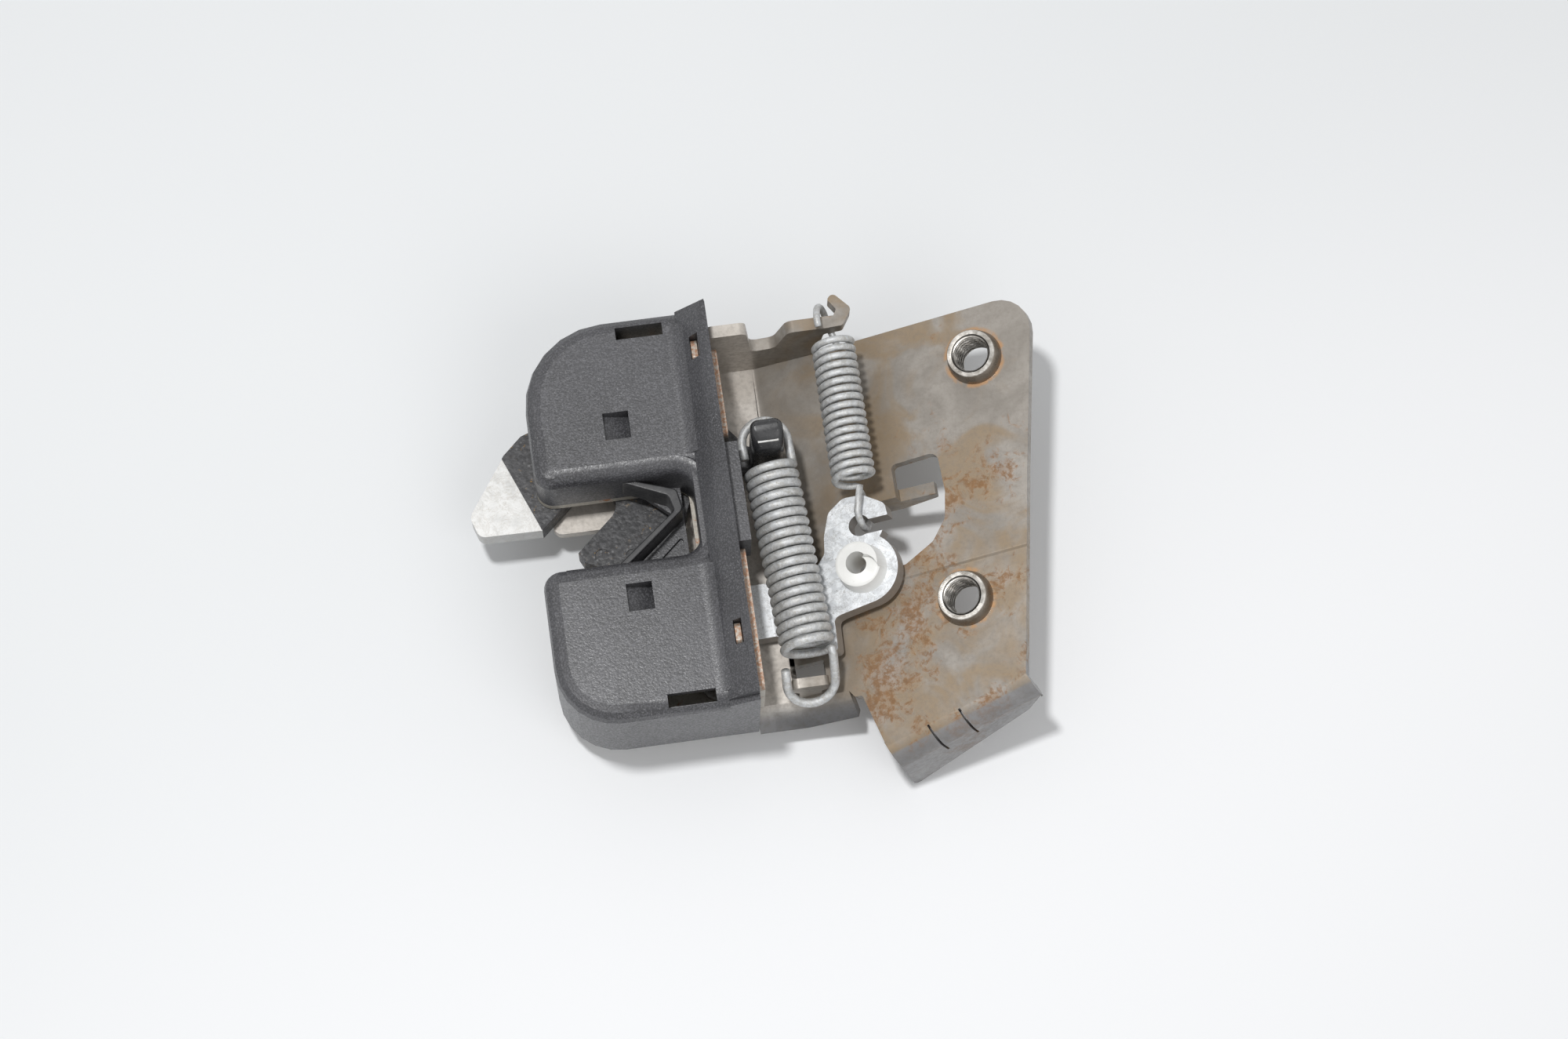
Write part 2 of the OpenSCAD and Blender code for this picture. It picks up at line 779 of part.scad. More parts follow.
module claw_overmould() {
  low = claw_lift - mould_t;
  hole_r = body_r - hub_band;
  color("#2b2b2e") difference() {
    plate(claw_outline, low, claw_t + 2 * mould_t);
    tip_side();
    mouth(0);
    arm_clearance();
    difference() {
      plate(inset(claw_outline, mould_wall), claw_lift, claw_t);
      mouth(mould_wall);
    }
    translate([claw_pin.x, claw_pin.y, -1]) cylinder(r = hole_r, h = through);
    translate([post_x[0] + mould_wall, post_y[0] + mould_wall, claw_lift])
      cube([post_x[1] - post_x[0] - 2 * mould_wall, post_y[1] - post_y[0] - 2 * mould_wall, through]);
    for (p = dimples)
      translate([p.x, p.y, claw_top + mould_t - dimple_deep]) cylinder(d = dimple_d, h = through);
  }
}

// Sleeve over the bent-up post that carries the claw spring
module post_sleeve() {
  z = claw_top + mould_t;
  color("#1f1f22") difference() {
    plate([
      [post_x[0], post_y[0], 2],
      [post_x[1], post_y[0], 2],
      [post_x[1], post_y[1], 2],
      [post_x[0], post_y[1], 2]
    ], z, post_h - z);
    translate([post_x[0] + mould_wall, post_y[0] + mould_wall, z - 1])
      cube([post_x[1] - post_x[0] - 2 * mould_wall, post_y[1] - post_y[0] - 2 * mould_wall,
        post_h - mould_wall - z + 1]);
  }
}

module claw_rivet() {
  color("#9c9a96") rivet(claw_pin, claw_pin_d, claw_neck);
}

module claw_washer() {
  color("#d8d6cf") washer(claw_pin, claw_pin_d, claw_pin_d + 4, claw_lift - run_gap);
}

// Pawl lever: a flat pawl with its nose, a bend, and the release arm that follows the wing
lever_bend_x = wing_x + (lever_top * cos(wing_angle) - lever_gap - lever_t) / sin(wing_angle);
lever_bend_s = (lever_bend_x - wing_x) * cos(wing_angle) + lever_top * sin(wing_angle);
lever_y = [-23.3, -12.2];
hub_r = 7.4;
nose_r = claw_r + 0.4;
nose_x = [0.4, 3.8];
bush_place = [18.2, -13.7];
hook_notch = [18.8, -4.8];

module pawl_flat() {
  translate([pawl_pin.x, pawl_pin.y, lever_lift]) cylinder(r = hub_r, h = lever_t);
  plate([
    [pawl_pin.x, pawl_pin.y - hub_r, 0],
    [lever_bend_x - bend_back, lever_y[0], 0],
    [lever_bend_x - bend_back, lever_y[1], 0],
    [7, lever_y[1], 2],
    [nose_x[1], claw_pin.y - sqrt(nose_r ^ 2 - nose_x[1] ^ 2), 0.5],
    [nose_x[0], claw_pin.y - nose_r, 0.5],
    [-4.6, pawl_pin.y + hub_r - 0.2, 0],
    [pawl_pin.x - 3, pawl_pin.y, 0]
  ], lever_lift, lever_t);
}

module pawl_arm() {
  on_wing() {
    plate([
      [lever_bend_s + bend_back, lever_y[0], 0],
      [4, -26, 1],
      [10.6, -29.8, 1],
      [10.8, -22.4, 1.2],
      [12.4, -21.9, 2],
      [19.9, -20.7, 0],
      [24, -13.7, 0],
      [22.4, -8.2, 0],
      [24.9, -4.6, 0.8],
      [24.6, -1.4, 1.6],
      [20.3, 1.3, 2.2],
      [16.2, 1.5, 2.6],
      [12.8, -0.8, 2],
      [11.2, -5.5, 3],
      [10.8, -9, 2],
      [8.6, -11.4, 2],
      [lever_bend_s + bend_back, lever_y[1], 0]
    ], lever_gap, lever_t);
    translate([bush_place.x, bush_place.y, lever_gap]) cylinder(r = hub_r - 0.2, h = lever_t);
  }
}

module pawl_lever() {
  color("#c9cccd") difference() {
    union() {
      pawl_flat();
      translate([lever_bend_x, 0, lever_top])
        wing_bend(lever_t, lever_y[0], lever_y[1] - lever_y[0]);
      pawl_arm();
    }
    translate([pawl_pin.x, pawl_pin.y, -1]) cylinder(d = pawl_pin_d + 2 * pivot_clear, h = through);
    on_wing(lever_gap - 1) {
      translate(bush_place) cylinder(d = bush_d - 2, h = lever_t + 2);
      translate(hook_notch) cylinder(r = 2.2, h = lever_t + 2);
      translate([hook_notch.x, hook_notch.y - 2, 0]) cube([9, 2.9, lever_t + 2]);
    }
  }
}

// Split bush that the release rod snaps into
module rod_bush() {
  foot_t = 0.8;
  color("#e9e9e4") on_wing(lever_gap) translate(bush_place) rotate_extrude() polygon([
    [bush_hole_d / 2, -foot_t],
    [bush_d / 2 - 0.4, -foot_t],
    [bush_d / 2 - 0.4, 0],
    [bush_d / 2 - 1, 0],
    [bush_d / 2 - 1, lever_t],
    [bush_d / 2, lever_t],
    [bush_d / 2 - 0.5, lever_t + bush_h],
    [bush_hole_d / 2, lever_t + bush_h]
  ]);
}

module pawl_rivet() {
  color("#9c9a96") rivet(pawl_pin, pawl_pin_d, pawl_neck);
}

module pawl_washer() {
  color("#d8d6cf") washer(pawl_pin, pawl_pin_d, pawl_pin_d + 4, lever_lift - run_gap);
}

// Distance rivets: one is also the claw's stop in the open state
module stop_rivet() {
  color("#a8a6a1") rivet(stop_pin, spacer_d, spacer_neck);
}

module spacer_rivet() {
  color("#a8a6a1") rivet(spacer_pin, spacer_d, spacer_neck);
}

// Round wire along a path of [point, outward direction] pairs
wire_sides = 6;

module wire(path, d) {
  n = len(path);
  rings = [for (i = [0 : n - 1])
    let (
      t = unit(path[min(i + 1, n - 1)][0] - path[max(i - 1, 0)][0]),
      o = unit(path[i][1] - t * (path[i][1] * t)),
      q = cross(t, o)
    )
    each [for (k = [0 : wire_sides - 1])
      path[i][0] + d / 2 * (cos(360 * k / wire_sides) * o + sin(360 * k / wire_sides) * q)]];
  sides = [for (i = [0 : n - 2]) for (k = [0 : wire_sides - 1])
    let (a = i * wire_sides + k, b = i * wire_sides + (k + 1) % wire_sides)
    each [[a, b, b + wire_sides], [a, b + wire_sides, a + wire_sides]]];
  ends = [[for (k = [wire_sides - 1 : -1 : 0]) k],
    [for (k = [0 : wire_sides - 1]) (n - 1) * wire_sides + k]];
  polyhedron(rings, concat(ends, sides));
}

// Coil from a along the unit vector w, starting on the side of u
function coil(a, w, u, r, len, turns, steps = 12) = [for (k = [0 : turns * steps])
  let (f = 360 * k / steps, o = u * cos(f) + cross(w, u) * sin(f))
  [a + w * len * k / (turns * steps) + r * o, o]];

// Long eye from c on the side of u, lead straight along w and then round
function eye(c, w, u, r, lead) = concat(
  [for (k = [1 : 3]) [c + w * lead * k / 3 + u * r, u]],
  [for (t = [20 : 20 : 180]) [c + w * lead + r * (u * cos(t) + w * sin(t)), u * cos(t) + w * sin(t)]],
  [[c + w * lead / 2 - u * r, -u]]
);

function backwards(p) = [for (i = [len(p) - 1 : -1 : 0]) p[i]];

// Claw spring: its coils run from near the tab to near the post
main_low = [25.9, -29.6, 14.3];
main_high = [23.7, 8, 16.1];
tab_reach = [0, -5.6, -6.1];

module main_spring() {
  r = (main_d - main_wire) / 2;
  w = unit(main_high - main_low);
  u = unit(cross(cross(w, [1, 0, 0]), w));
  low_w = unit(tab_reach);
  low_u = unit(u - low_w * (u * low_w));
  color("#a9adae") wire(concat(
    backwards(eye(main_low, low_w, low_u, r + 0.25, norm(tab_reach) - 0.95)),
    coil(main_low, w, u, r, norm(main_high - main_low), main_turns),
    eye(main_high, w, u, r, 5.5)
  ), main_wire);
}

// Lever spring, laid out in the wing's frame between the flange arm and the lever's hook
small_s = 20.8;
small_lift = 12;
small_y = [2.6, 32];

module return_spring() {
  r = (small_d - small_wire) / 2;
  n = [0, 0, -1];
  ring_r = 4;
  ring = [hook_notch.x + 0.6, -1.05, lever_gap + lever_t / 2 + 0.25];
  arm_ring = [small_s - 1.4, small_y[1] + 4, small_lift];
  color("#a9adae") on_wing() wire(concat(
    [for (t = [350 : -20 : 110])
      let (o = [0, cos(t), sin(t)]) [ring + ring_r * o, -o]],
    coil([small_s, small_y[0], small_lift], [0, 1, 0], n, r, small_y[1] - small_y[0], small_turns),
    [for (t = [250 : -20 : 70])
      let (o = [0, -cos(t), sin(t)]) [arm_ring + r * o, o]]
  ), small_wire);
}

base_plate();
upper_collar();
lower_collar();
front_plate();
cover();
striker_buffer();
claw_plate();
claw_overmould();
post_sleeve();
claw_rivet();
claw_washer();
pawl_lever();
rod_bush();
pawl_rivet();
pawl_washer();
stop_rivet();
spacer_rivet();
main_spring();
return_spring();
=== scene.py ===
"""Looks for the seat backrest lock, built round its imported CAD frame.

The rigid nodes keep their CAD shape, apart from the wing's lip, and get worn edges and materials. The
springs, the threaded collars, the post's sleeve and the rod's bush are rebuilt with their finer forms,
and the cover gets its rounded rim and soft creases. Lengths are millimetres, and metres where a name
ends in _m or _M. Directions and places are in the object's frame unless a comment names another.
"""
import json
import math

import bmesh
import bpy
from mathutils import Matrix, Vector

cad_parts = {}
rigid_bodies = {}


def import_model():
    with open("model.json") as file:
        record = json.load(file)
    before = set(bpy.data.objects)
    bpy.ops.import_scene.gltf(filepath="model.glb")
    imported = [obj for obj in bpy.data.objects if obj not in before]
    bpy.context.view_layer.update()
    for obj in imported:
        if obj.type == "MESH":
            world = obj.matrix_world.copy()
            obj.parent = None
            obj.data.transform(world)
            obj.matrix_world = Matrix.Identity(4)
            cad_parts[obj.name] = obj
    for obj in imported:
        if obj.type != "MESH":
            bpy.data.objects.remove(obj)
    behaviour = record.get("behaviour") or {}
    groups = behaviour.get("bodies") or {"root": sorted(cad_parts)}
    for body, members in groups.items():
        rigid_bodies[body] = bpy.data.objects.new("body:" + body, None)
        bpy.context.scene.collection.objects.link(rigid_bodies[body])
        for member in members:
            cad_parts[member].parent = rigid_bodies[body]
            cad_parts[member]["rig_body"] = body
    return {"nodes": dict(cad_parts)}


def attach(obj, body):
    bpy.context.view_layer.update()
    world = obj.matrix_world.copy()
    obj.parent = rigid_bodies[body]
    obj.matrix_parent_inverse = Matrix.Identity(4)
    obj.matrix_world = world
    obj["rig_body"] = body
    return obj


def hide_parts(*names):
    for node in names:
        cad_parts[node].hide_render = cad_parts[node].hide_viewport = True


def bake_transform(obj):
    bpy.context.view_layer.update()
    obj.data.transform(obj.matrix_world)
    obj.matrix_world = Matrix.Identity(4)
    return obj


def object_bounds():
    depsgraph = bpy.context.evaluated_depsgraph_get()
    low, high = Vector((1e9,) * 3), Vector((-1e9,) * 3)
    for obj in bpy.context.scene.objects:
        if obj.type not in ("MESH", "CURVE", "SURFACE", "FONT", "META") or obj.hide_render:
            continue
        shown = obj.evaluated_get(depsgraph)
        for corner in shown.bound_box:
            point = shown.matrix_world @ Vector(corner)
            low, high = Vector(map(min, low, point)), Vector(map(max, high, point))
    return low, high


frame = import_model()
cad_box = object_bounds()

MM = 0.001
ROOT = "frame"

# The wing's own frame, as in the part's source: s along the wing, y across, lift over its face
WING_X = 24.2
WING_ANGLE = math.radians(20)
WING_TURN = Matrix.Rotation(-WING_ANGLE, 4, "Y")
WING_FRAME = Matrix.Translation((WING_X, 0, 0)) @ WING_TURN
WING_FRAME_M = Matrix.Translation((WING_X * MM, 0, 0)) @ WING_TURN


def on_wing(s, y, lift):
    """Point of the wing's frame in the object's frame."""
    return Vector((
        WING_X + s * math.cos(WING_ANGLE) - lift * math.sin(WING_ANGLE),
        y,
        s * math.sin(WING_ANGLE) + lift * math.cos(WING_ANGLE),
    ))


WING_OUT = on_wing(0, 0, 1) - on_wing(0, 0, 0)
DOWN_WING = on_wing(0, -1, 0) - on_wing(0, 0, 0)
SHEET_T = 2.5

# Collars on the wing: [along it, across it]
COLLARS = [(46.3, 25.9), (36.4, -22.7)]

# Joggle line over the wing, just above the lower collar
JOGGLE_PLACE = on_wing(37, -15.4, 0)
JOGGLE_ACROSS = (-0.045, 1, 0)
JOGGLE_HALF = 0.45

# Round boss pressed into the flat plate round the claw's pivot, shown between two stretches of x
BOSS_PLACE = (2.0, 20.5, 0)
BOSS_R, BOSS_SLOPE = 18.5, 1.4
BOSS_LEFT, BOSS_RIGHT = (11, 13), (23.4, 22.6)

# Materials

# Colour sockets of a Mix node: its two inputs and its output
MIX_A, MIX_B, MIXED = 6, 7, 2


class Look:
    """Node graph of one material that ends in a Principled shader."""

    def __init__(self, name, roughness=0.5, metallic=0.0, specular=0.5):
        self.material = bpy.data.materials.new(name)
        self.material.use_nodes = True
        self.tree = self.material.node_tree
        self.shader = self.tree.nodes["Principled BSDF"]
        self.shader.inputs["Roughness"].default_value = roughness
        self.shader.inputs["Metallic"].default_value = metallic
        self.shader.inputs["Specular IOR Level"].default_value = specular
        places = self.tree.nodes.new("ShaderNodeTexCoord").outputs
        self.where = places["Object"]
        self.upright = places["Normal"]
        self.normal = None

    def node(self, kind, **inputs):
        """Node of a kind with some of its inputs fed; _ stands for a space in their names."""
        made = self.tree.nodes.new(kind)
        for key, value in inputs.items():
            self.feed(made.inputs[key.replace("_", " ")], value)
        return made

    def feed(self, socket, value):
        """Links a socket to another one, or gives it a value or a colour."""
        if isinstance(value, bpy.types.NodeSocket):
            self.tree.links.new(value, socket)
        elif isinstance(value, tuple) and len(value) == 3 and socket.type == "RGBA":
            socket.default_value = (*value, 1)
        else:
            socket.default_value = value

    def noise(self, size, detail=3.0, rough=0.6, twist=0.0):
        """Noise whose lumps are about size millimetres across."""
        made = self.node("ShaderNodeTexNoise", Scale=1 / (size * MM), Detail=detail,
                         Roughness=rough, Distortion=twist)
        self.feed(made.inputs["Vector"], self.where)
        return made.outputs["Fac"]

    def cells(self, size):
        """Distance to the nearest of many points size millimetres apart, in cell widths."""
        made = self.node("ShaderNodeTexVoronoi", Scale=1 / (size * MM))
        self.feed(made.inputs["Vector"], self.where)
        return made.outputs["Distance"]

    def level(self, value, low, high, to_low=0.0, to_high=1.0):
        """Value mapped from low..high to to_low..to_high, smoothly and clamped."""
        made = self.node("ShaderNodeMapRange")
        made.interpolation_type = "SMOOTHSTEP"
        for i, v in enumerate((value, low, high, to_low, to_high)):
            self.feed(made.inputs[i], v)
        return made.outputs[0]

    def math(self, operation, a, b):
        made = self.node("ShaderNodeMath")
        made.operation = operation
        self.feed(made.inputs[0], a)
        self.feed(made.inputs[1], b)
        return made.outputs[0]

    def plus(self, a, b):
        return self.math("ADD", a, b)

    def times(self, a, b):
        return self.math("MULTIPLY", a, b)

    def mix(self, share, a, b):
        """Colour a, with b in its place by share."""
        made = self.node("ShaderNodeMix")
        made.data_type = "RGBA"
        self.feed(made.inputs[0], share)
        self.feed(made.inputs[MIX_A], a)
        self.feed(made.inputs[MIX_B], b)
        return made.outputs[MIXED]

    def vector(self, operation, a, b=None):
        """Outputs of a vector operation on a socket and a fixed vector."""
        made = self.node("ShaderNodeVectorMath")
        made.operation = operation
        self.feed(made.inputs[0], a)
        if b is not None:
            made.inputs[1].default_value = b
        return made.outputs

    def from_point(self, point):
        """Vector from a point, in metres."""
        return self.vector("SUBTRACT", self.where, Vector(point) * MM)["Vector"]

    def along(self, direction, origin=(0, 0, 0)):
        """Millimetres from origin along direction, as a value over the object."""
        unit = Vector(direction).normalized() / MM
        return self.vector("DOT_PRODUCT", self.from_point(origin), unit)["Value"]

    def near(self, point, inner, outer):
        """1 within inner millimetres of a point, 0 beyond outer."""
        gap_m = self.vector("DISTANCE", self.where, Vector(point) * MM)["Value"]
        return self.level(gap_m, inner * MM, outer * MM, 1.0, 0.0)

    def facing(self, direction):
        """How squarely the surface faces a direction: 1 straight at it, 0 side on."""
        return self.vector("DOT_PRODUCT", self.upright, Vector(direction).normalized())["Value"]

    def from_axis(self, point, direction):
        """Millimetres from the line through a point along a direction."""
        unit = Vector(direction).normalized() / MM
        across = self.vector("CROSS_PRODUCT", self.from_point(point), unit)["Vector"]
        return self.vector("LENGTH", across)["Value"]

    def bump(self, height, depth, strength=1.0):
        """Adds relief of depth millimetres to the surface."""
        made = self.node("ShaderNodeBump", Strength=strength, Distance=depth * MM, Height=height)
        if self.normal:
            self.feed(made.inputs["Normal"], self.normal)
        self.normal = made.outputs["Normal"]

    def done(self, color, roughness=None):
        self.feed(self.shader.inputs["Base Color"], color)
        if roughness is not None:
            self.feed(self.shader.inputs["Roughness"], roughness)
        if self.normal:
            self.feed(self.shader.inputs["Normal"], self.normal)
        return self.material


# Lacquered sheet: darker and lighter tone of each region, and where along x the flat ends
WING_TONES = (0.225, 0.205, 0.18), (0.32, 0.295, 0.265)
FLAT_TONES = (0.46, 0.425, 0.385), (0.58, 0.545, 0.50)
# Lip's tones: a cleaner grey, darkened with painted shade where its face turns away from the light
LIP_GREY_AND_SHADE_TONES = (0.19, 0.19, 0.195), (0.25, 0.25, 0.255)
STAIN, GRIME = (0.25, 0.18, 0.105), (0.15, 0.13, 0.11)
RUST_TONES = (0.15, 0.08, 0.035), (0.38, 0.185, 0.065)
FLAT_TO, WING_FROM = 23.0, 25.5
LIP_FROM_Y, LIP_TO_Y = -36, -39

# Stretches of x over which the stains come in and fade again, and over which the rust comes in
STAIN_IN_X, STAIN_OUT_X, RUST_IN_X = (24, 40), (78, 62), (22, 42)

# Places of heavier rust: [place, reach, gain]
RUST_SPOTS = [
    (on_wing(46.3, 25.9, 0), 8.2, 0.10),
    (on_wing(41, -4, 0), 12, 0.10),
    (on_wing(46, 3, 0), 9, 0.09),
    (on_wing(52, 13, 0), 6, 0.06),
    (on_wing(16, -34, 0), 9, 0.07),
    (on_wing(37, -44, 0), 8, 0.07),
    (on_wing(50, -33, 0), 9, 0.05),
]
RUST_CORE = 0.5

# Line over the wing below which the rust gets denser, and the stretch over which it does
RUST_LINE_PLACE, RUST_LINE_DOWN, RUST_LINE_FADE = (40, -2, 0), (-0.05, -1, 0), (-14, 12)

# Rust that creeps out from under each collar
RING_IN, RING_OUT, RING_TONE = 5.9, 6.7, (0.42, 0.23, 0.10)


def lip_share(look):
    """Share of the lip's grey, a cleaner sheet darkened with painted shade: full where the sheet has
    turned away from the wing's face.
    """
    turned = look.level(look.facing(WING_OUT), 0.94, 0.86, 0.0, 0.95)
    return look.times(turned, look.level(look.along((0, 1, 0)), LIP_FROM_Y, LIP_TO_Y))


def lacquer_coat(look, fine, x, on_lip):
    """Lacquer's colour: light on the flat plate, stained brown in patches on the wing, and a cleaner grey
    with painted shade on the lip.
    """
    mottle = look.level(look.noise(9, detail=4, rough=0.62, twist=0.4), 0.3, 0.7)
    coat = look.mix(mottle, *WING_TONES)
    coat = look.mix(look.level(x, WING_FROM, FLAT_TO), coat, look.mix(mottle, *FLAT_TONES))
    # Painted shade: the lip's turned-away face takes a darker grey
    coat = look.mix(on_lip, coat, look.mix(mottle, *LIP_GREY_AND_SHADE_TONES))
    blots = look.noise(14, detail=3, rough=0.55, twist=1.2)
    stain = look.plus(blots, look.level(x, *STAIN_OUT_X, -0.06, 0.08))
    stain = look.times(look.level(stain, 0.45, 0.70), look.level(x, *STAIN_IN_X, 0.1, 0.8))
    stain = look.times(stain, look.math("SUBTRACT", 1.0, on_lip))
    coat = look.mix(stain, coat, STAIN)
    return look.mix(look.level(fine, 0.35, 0.75, 0.0, 0.35), coat, GRIME)


def lacquer_rust(look, fine, x, on_lip):
    """Share of rust: streaks and patches, more at the rust spots and less on the flat and the lip."""
    patches = look.times(look.noise(17, detail=2, rough=0.5), 0.55)
    streaks = look.times(look.noise(3.2, detail=6, rough=0.75, twist=0.9), 0.5)
    rust = look.plus(patches, streaks)
    below = look.along(RUST_LINE_DOWN, RUST_LINE_PLACE)
    rust = look.plus(rust, look.level(below, *RUST_LINE_FADE, 0.0, 0.075))
    rust = look.plus(rust, look.level(x, *RUST_IN_X, -0.11, 0.0))
    for spot, reach, gain in RUST_SPOTS:
        rust = look.plus(rust, look.times(look.near(spot, RUST_CORE, reach), gain))
    rust = look.times(look.level(rust, 0.615, 0.70), look.level(fine, 0.38, 0.58, 0.35, 1.0))
    return look.times(rust, look.level(on_lip, 0.2, 0.8, 1.0, 0.3))


def collar_rings(look, color):
    """Colour with a broken ring of rust round each collar."""
    for s, y in COLLARS:
        ring = look.near(on_wing(s, y, 0), RING_IN, RING_OUT)
        ring = look.times(ring, look.level(look.noise(3.5, detail=3), 0.42, 0.58))
        color = look.mix(look.times(ring, 0.8), color, RING_TONE)
    return color


def plate_relief(look, fine, x, rust):
    """Grain and waviness of the sheet, its pressed boss and joggle line, and the rust's crust."""
    look.bump(fine, depth=0.02, strength=0.5)
    look.bump(look.noise(30, detail=2), depth=0.35, strength=0.6)
    boss = look.near(BOSS_PLACE, BOSS_R - BOSS_SLOPE, BOSS_R + BOSS_SLOPE)
    boss = look.times(boss, look.level(x, *BOSS_RIGHT))
    look.bump(look.times(boss, look.level(x, *BOSS_LEFT)), depth=0.4, strength=0.8)
    joggle = look.level(look.along(JOGGLE_ACROSS, JOGGLE_PLACE), -JOGGLE_HALF, JOGGLE_HALF)
    look.bump(joggle, depth=0.35, strength=0.9)
    look.bump(rust, depth=0.03, strength=0.5)


def lacquered_steel():
    """Grey-brown lacquered sheet with rust, denser on the wing and below its joggle line."""
    look = Look("lacquered_steel", metallic=0.35)
    fine = look.noise(1.1, detail=3, rough=0.7)
    x = look.along((1, 0, 0))
    on_lip = lip_share(look)
    coat = lacquer_coat(look, fine, x, on_lip)
    rust = lacquer_rust(look, fine, x, on_lip)
    rust_color = look.mix(look.noise(1.6, detail=4, rough=0.7), *RUST_TONES)
    color = collar_rings(look, look.mix(look.times(rust, 0.7), coat, rust_color))
    plate_relief(look, fine, x, rust)
    return look.done(color, look.plus(look.times(rust, 0.3), look.level(fine, 0.2, 0.8, 0.34, 0.5)))


def front_steel():
    """Beige steel of the front plate, rusty along its cut edge and on the tabs above the cover."""
    edge_from_x, edge_to_x = 12.5, 9.5
    tab_from_z, tab_to_z = 19, 21
    beige = (0.36, 0.335, 0.29), (0.55, 0.52, 0.46)
    grime, rust_tone = (0.22, 0.18, 0.13), (0.36, 0.15, 0.06)
    look = Look("front_steel", metallic=0.3)
    grains = look.noise(0.7, detail=3, rough=0.7)
    coat = look.mix(look.noise(5, detail=4, rough=0.6), *beige)
    coat = look.mix(look.level(grains, 0.5, 0.72, 0.0, 0.5), coat, grime)
    rust = look.level(look.noise(2.6, detail=5, rough=0.7), 0.56, 0.64)
    inside = look.level(look.along((1, 0, 0)), edge_from_x, edge_to_x)
    rust = look.times(rust, look.level(inside, 0, 1, 0.35, 1.0))
    above = look.level(look.along((0, 0, 1)), tab_from_z, tab_to_z, 0.0, 0.75)
    rust = look.math("MAXIMUM", rust, look.times(above, look.level(grains, 0.35, 0.6)))
    look.bump(grains, depth=0.02, strength=0.6)
    return look.done(look.mix(rust, coat, rust_tone), look.level(grains, 0.2, 0.8, 0.4, 0.6))


def grained_plastic(name, dark, light, grain, depth, roughness, dirt=None):
    """Moulded plastic with painted glints on a grain of grain millimetres, and dust in its pores."""
    fleck_tone, sparkle_gain = (0.26, 0.26, 0.265), 2.6
    look = Look(name)
    pores = look.noise(grain, detail=2, rough=0.6)
    color = look.mix(look.level(look.noise(22, detail=3, rough=0.5), 0.3, 0.7), dark, light)
    fleck = look.level(look.cells(grain * 1.5), 0.26, 0.10)
    fleck = look.times(fleck, look.level(look.noise(6, detail=3), 0.4, 0.7, 0.15, 0.75))
    # Painted glints: random specks of the grain are lightened, as if catching the light
    painted_glint = look.level(look.noise(grain * 0.8, detail=1, rough=0.5), 0.42, 0.68, 0.0, 0.5)
    color = look.mix(painted_glint, color, tuple(sparkle_gain * c for c in light))
    color = look.mix(fleck, color, fleck_tone)
    if dirt:
        spots = look.level(look.noise(1.3, detail=5, rough=0.8), 0.60, 0.66)
        spots = look.times(spots, look.level(look.noise(7, detail=2), 0.42, 0.6))
        color = look.mix(spots, color, dirt)
    look.bump(pores, depth=depth, strength=0.8)
    return look.done(color, look.level(pores, 0.3, 0.7, roughness - 0.08, roughness + 0.1))


def smooth_plastic(name, color, dust, roughness):
    """Glossy moulding with a thin film of dust and faint scratches."""
    look = Look(name)
    film = look.level(look.noise(4, detail=5, rough=0.65), 0.42, 0.75, 0.0, 0.35)
    specks = look.level(look.cells(1.1), 0.16, 0.05, 0.0, 0.7)
    tone = look.mix(specks, look.mix(film, color, dust), dust)
    scratch = look.noise(1.4, detail=2, rough=0.5, twist=2.0)
    look.bump(scratch, depth=0.02, strength=0.4)
    return look.done(tone, look.level(scratch, 0.3, 0.7, roughness, roughness + 0.12))


def zinc(name, dark, light, speck, roughness, metallic, flake=2.4, up=None, cut=None):
    """Zinc plate: pale mottled flakes with dark specks, and dull cut edges beside the up face."""
    look = Look(name, metallic=metallic)
    flakes = look.noise(flake, detail=5, rough=0.7, twist=0.6)
    color = look.mix(look.level(flakes, 0.35, 0.65), dark, light)
    specks = look.level(look.noise(0.9, detail=4, rough=0.75), 0.62, 0.70)
    color = look.mix(look.times(specks, 0.7), color, speck)
    web = look.noise(5, detail=6, rough=0.8, twist=1.8)
    veins = look.times(look.level(web, 0.47, 0.50), look.level(web, 0.53, 0.50))
    color = look.mix(look.times(veins, 0.45), color, speck)
    if up:
        color = look.mix(look.level(look.facing(up), 0.75, 0.5), color, cut)
    look.bump(look.noise(0.5, detail=3, rough=0.7), depth=0.02, strength=0.5)
    return look.done(color, look.level(flakes, 0.3, 0.7, roughness - 0.06, roughness + 0.12))


def turned_steel(name, spot):
    """Bright steel of a collar at a spot on the wing, with painted shade in its thread's grooves."""
    groove_in, groove_out, neck_r = (3.5, 3.8), (4.05, 3.95), (4.85, 5.0)
    bright, stain = ((0.31, 0.29, 0.26), (0.54, 0.52, 0.49)), (0.20, 0.15, 0.11)
    groove_shade_tone, neck_tone = (0.02, 0.018, 0.016), (0.22, 0.185, 0.15)
    ring_pitch = 0.9
    look = Look(name, metallic=0.85)
    rings = look.node("ShaderNodeTexWave", Scale=1 / (ring_pitch * MM), Distortion=1.5, Detail=2.0)
    rings.wave_type = "RINGS"
    look.feed(rings.inputs["Vector"], look.where)
    film = look.noise(2.2, detail=4, rough=0.7)
    color = look.mix(look.level(film, 0.35, 0.7), *bright)
    dark = look.level(look.noise(0.8, detail=4, rough=0.75), 0.58, 0.68, 0.0, 0.6)
    color = look.mix(dark, color, stain)
    radius = look.from_axis(on_wing(*spot, 0), WING_OUT)
    # Painted shade: the threaded bore turns near black, as if in shadow
    groove = look.times(look.level(radius, *groove_in), look.level(radius, *groove_out))
    color = look.mix(groove, color, groove_shade_tone)
    color = look.mix(look.level(radius, *neck_r, 0.0, 0.8), color, neck_tone)
    look.bump(rings.outputs["Fac"], depth=0.015, strength=0.5)
    return look.done(color, look.level(film, 0.3, 0.7, 0.24, 0.42))


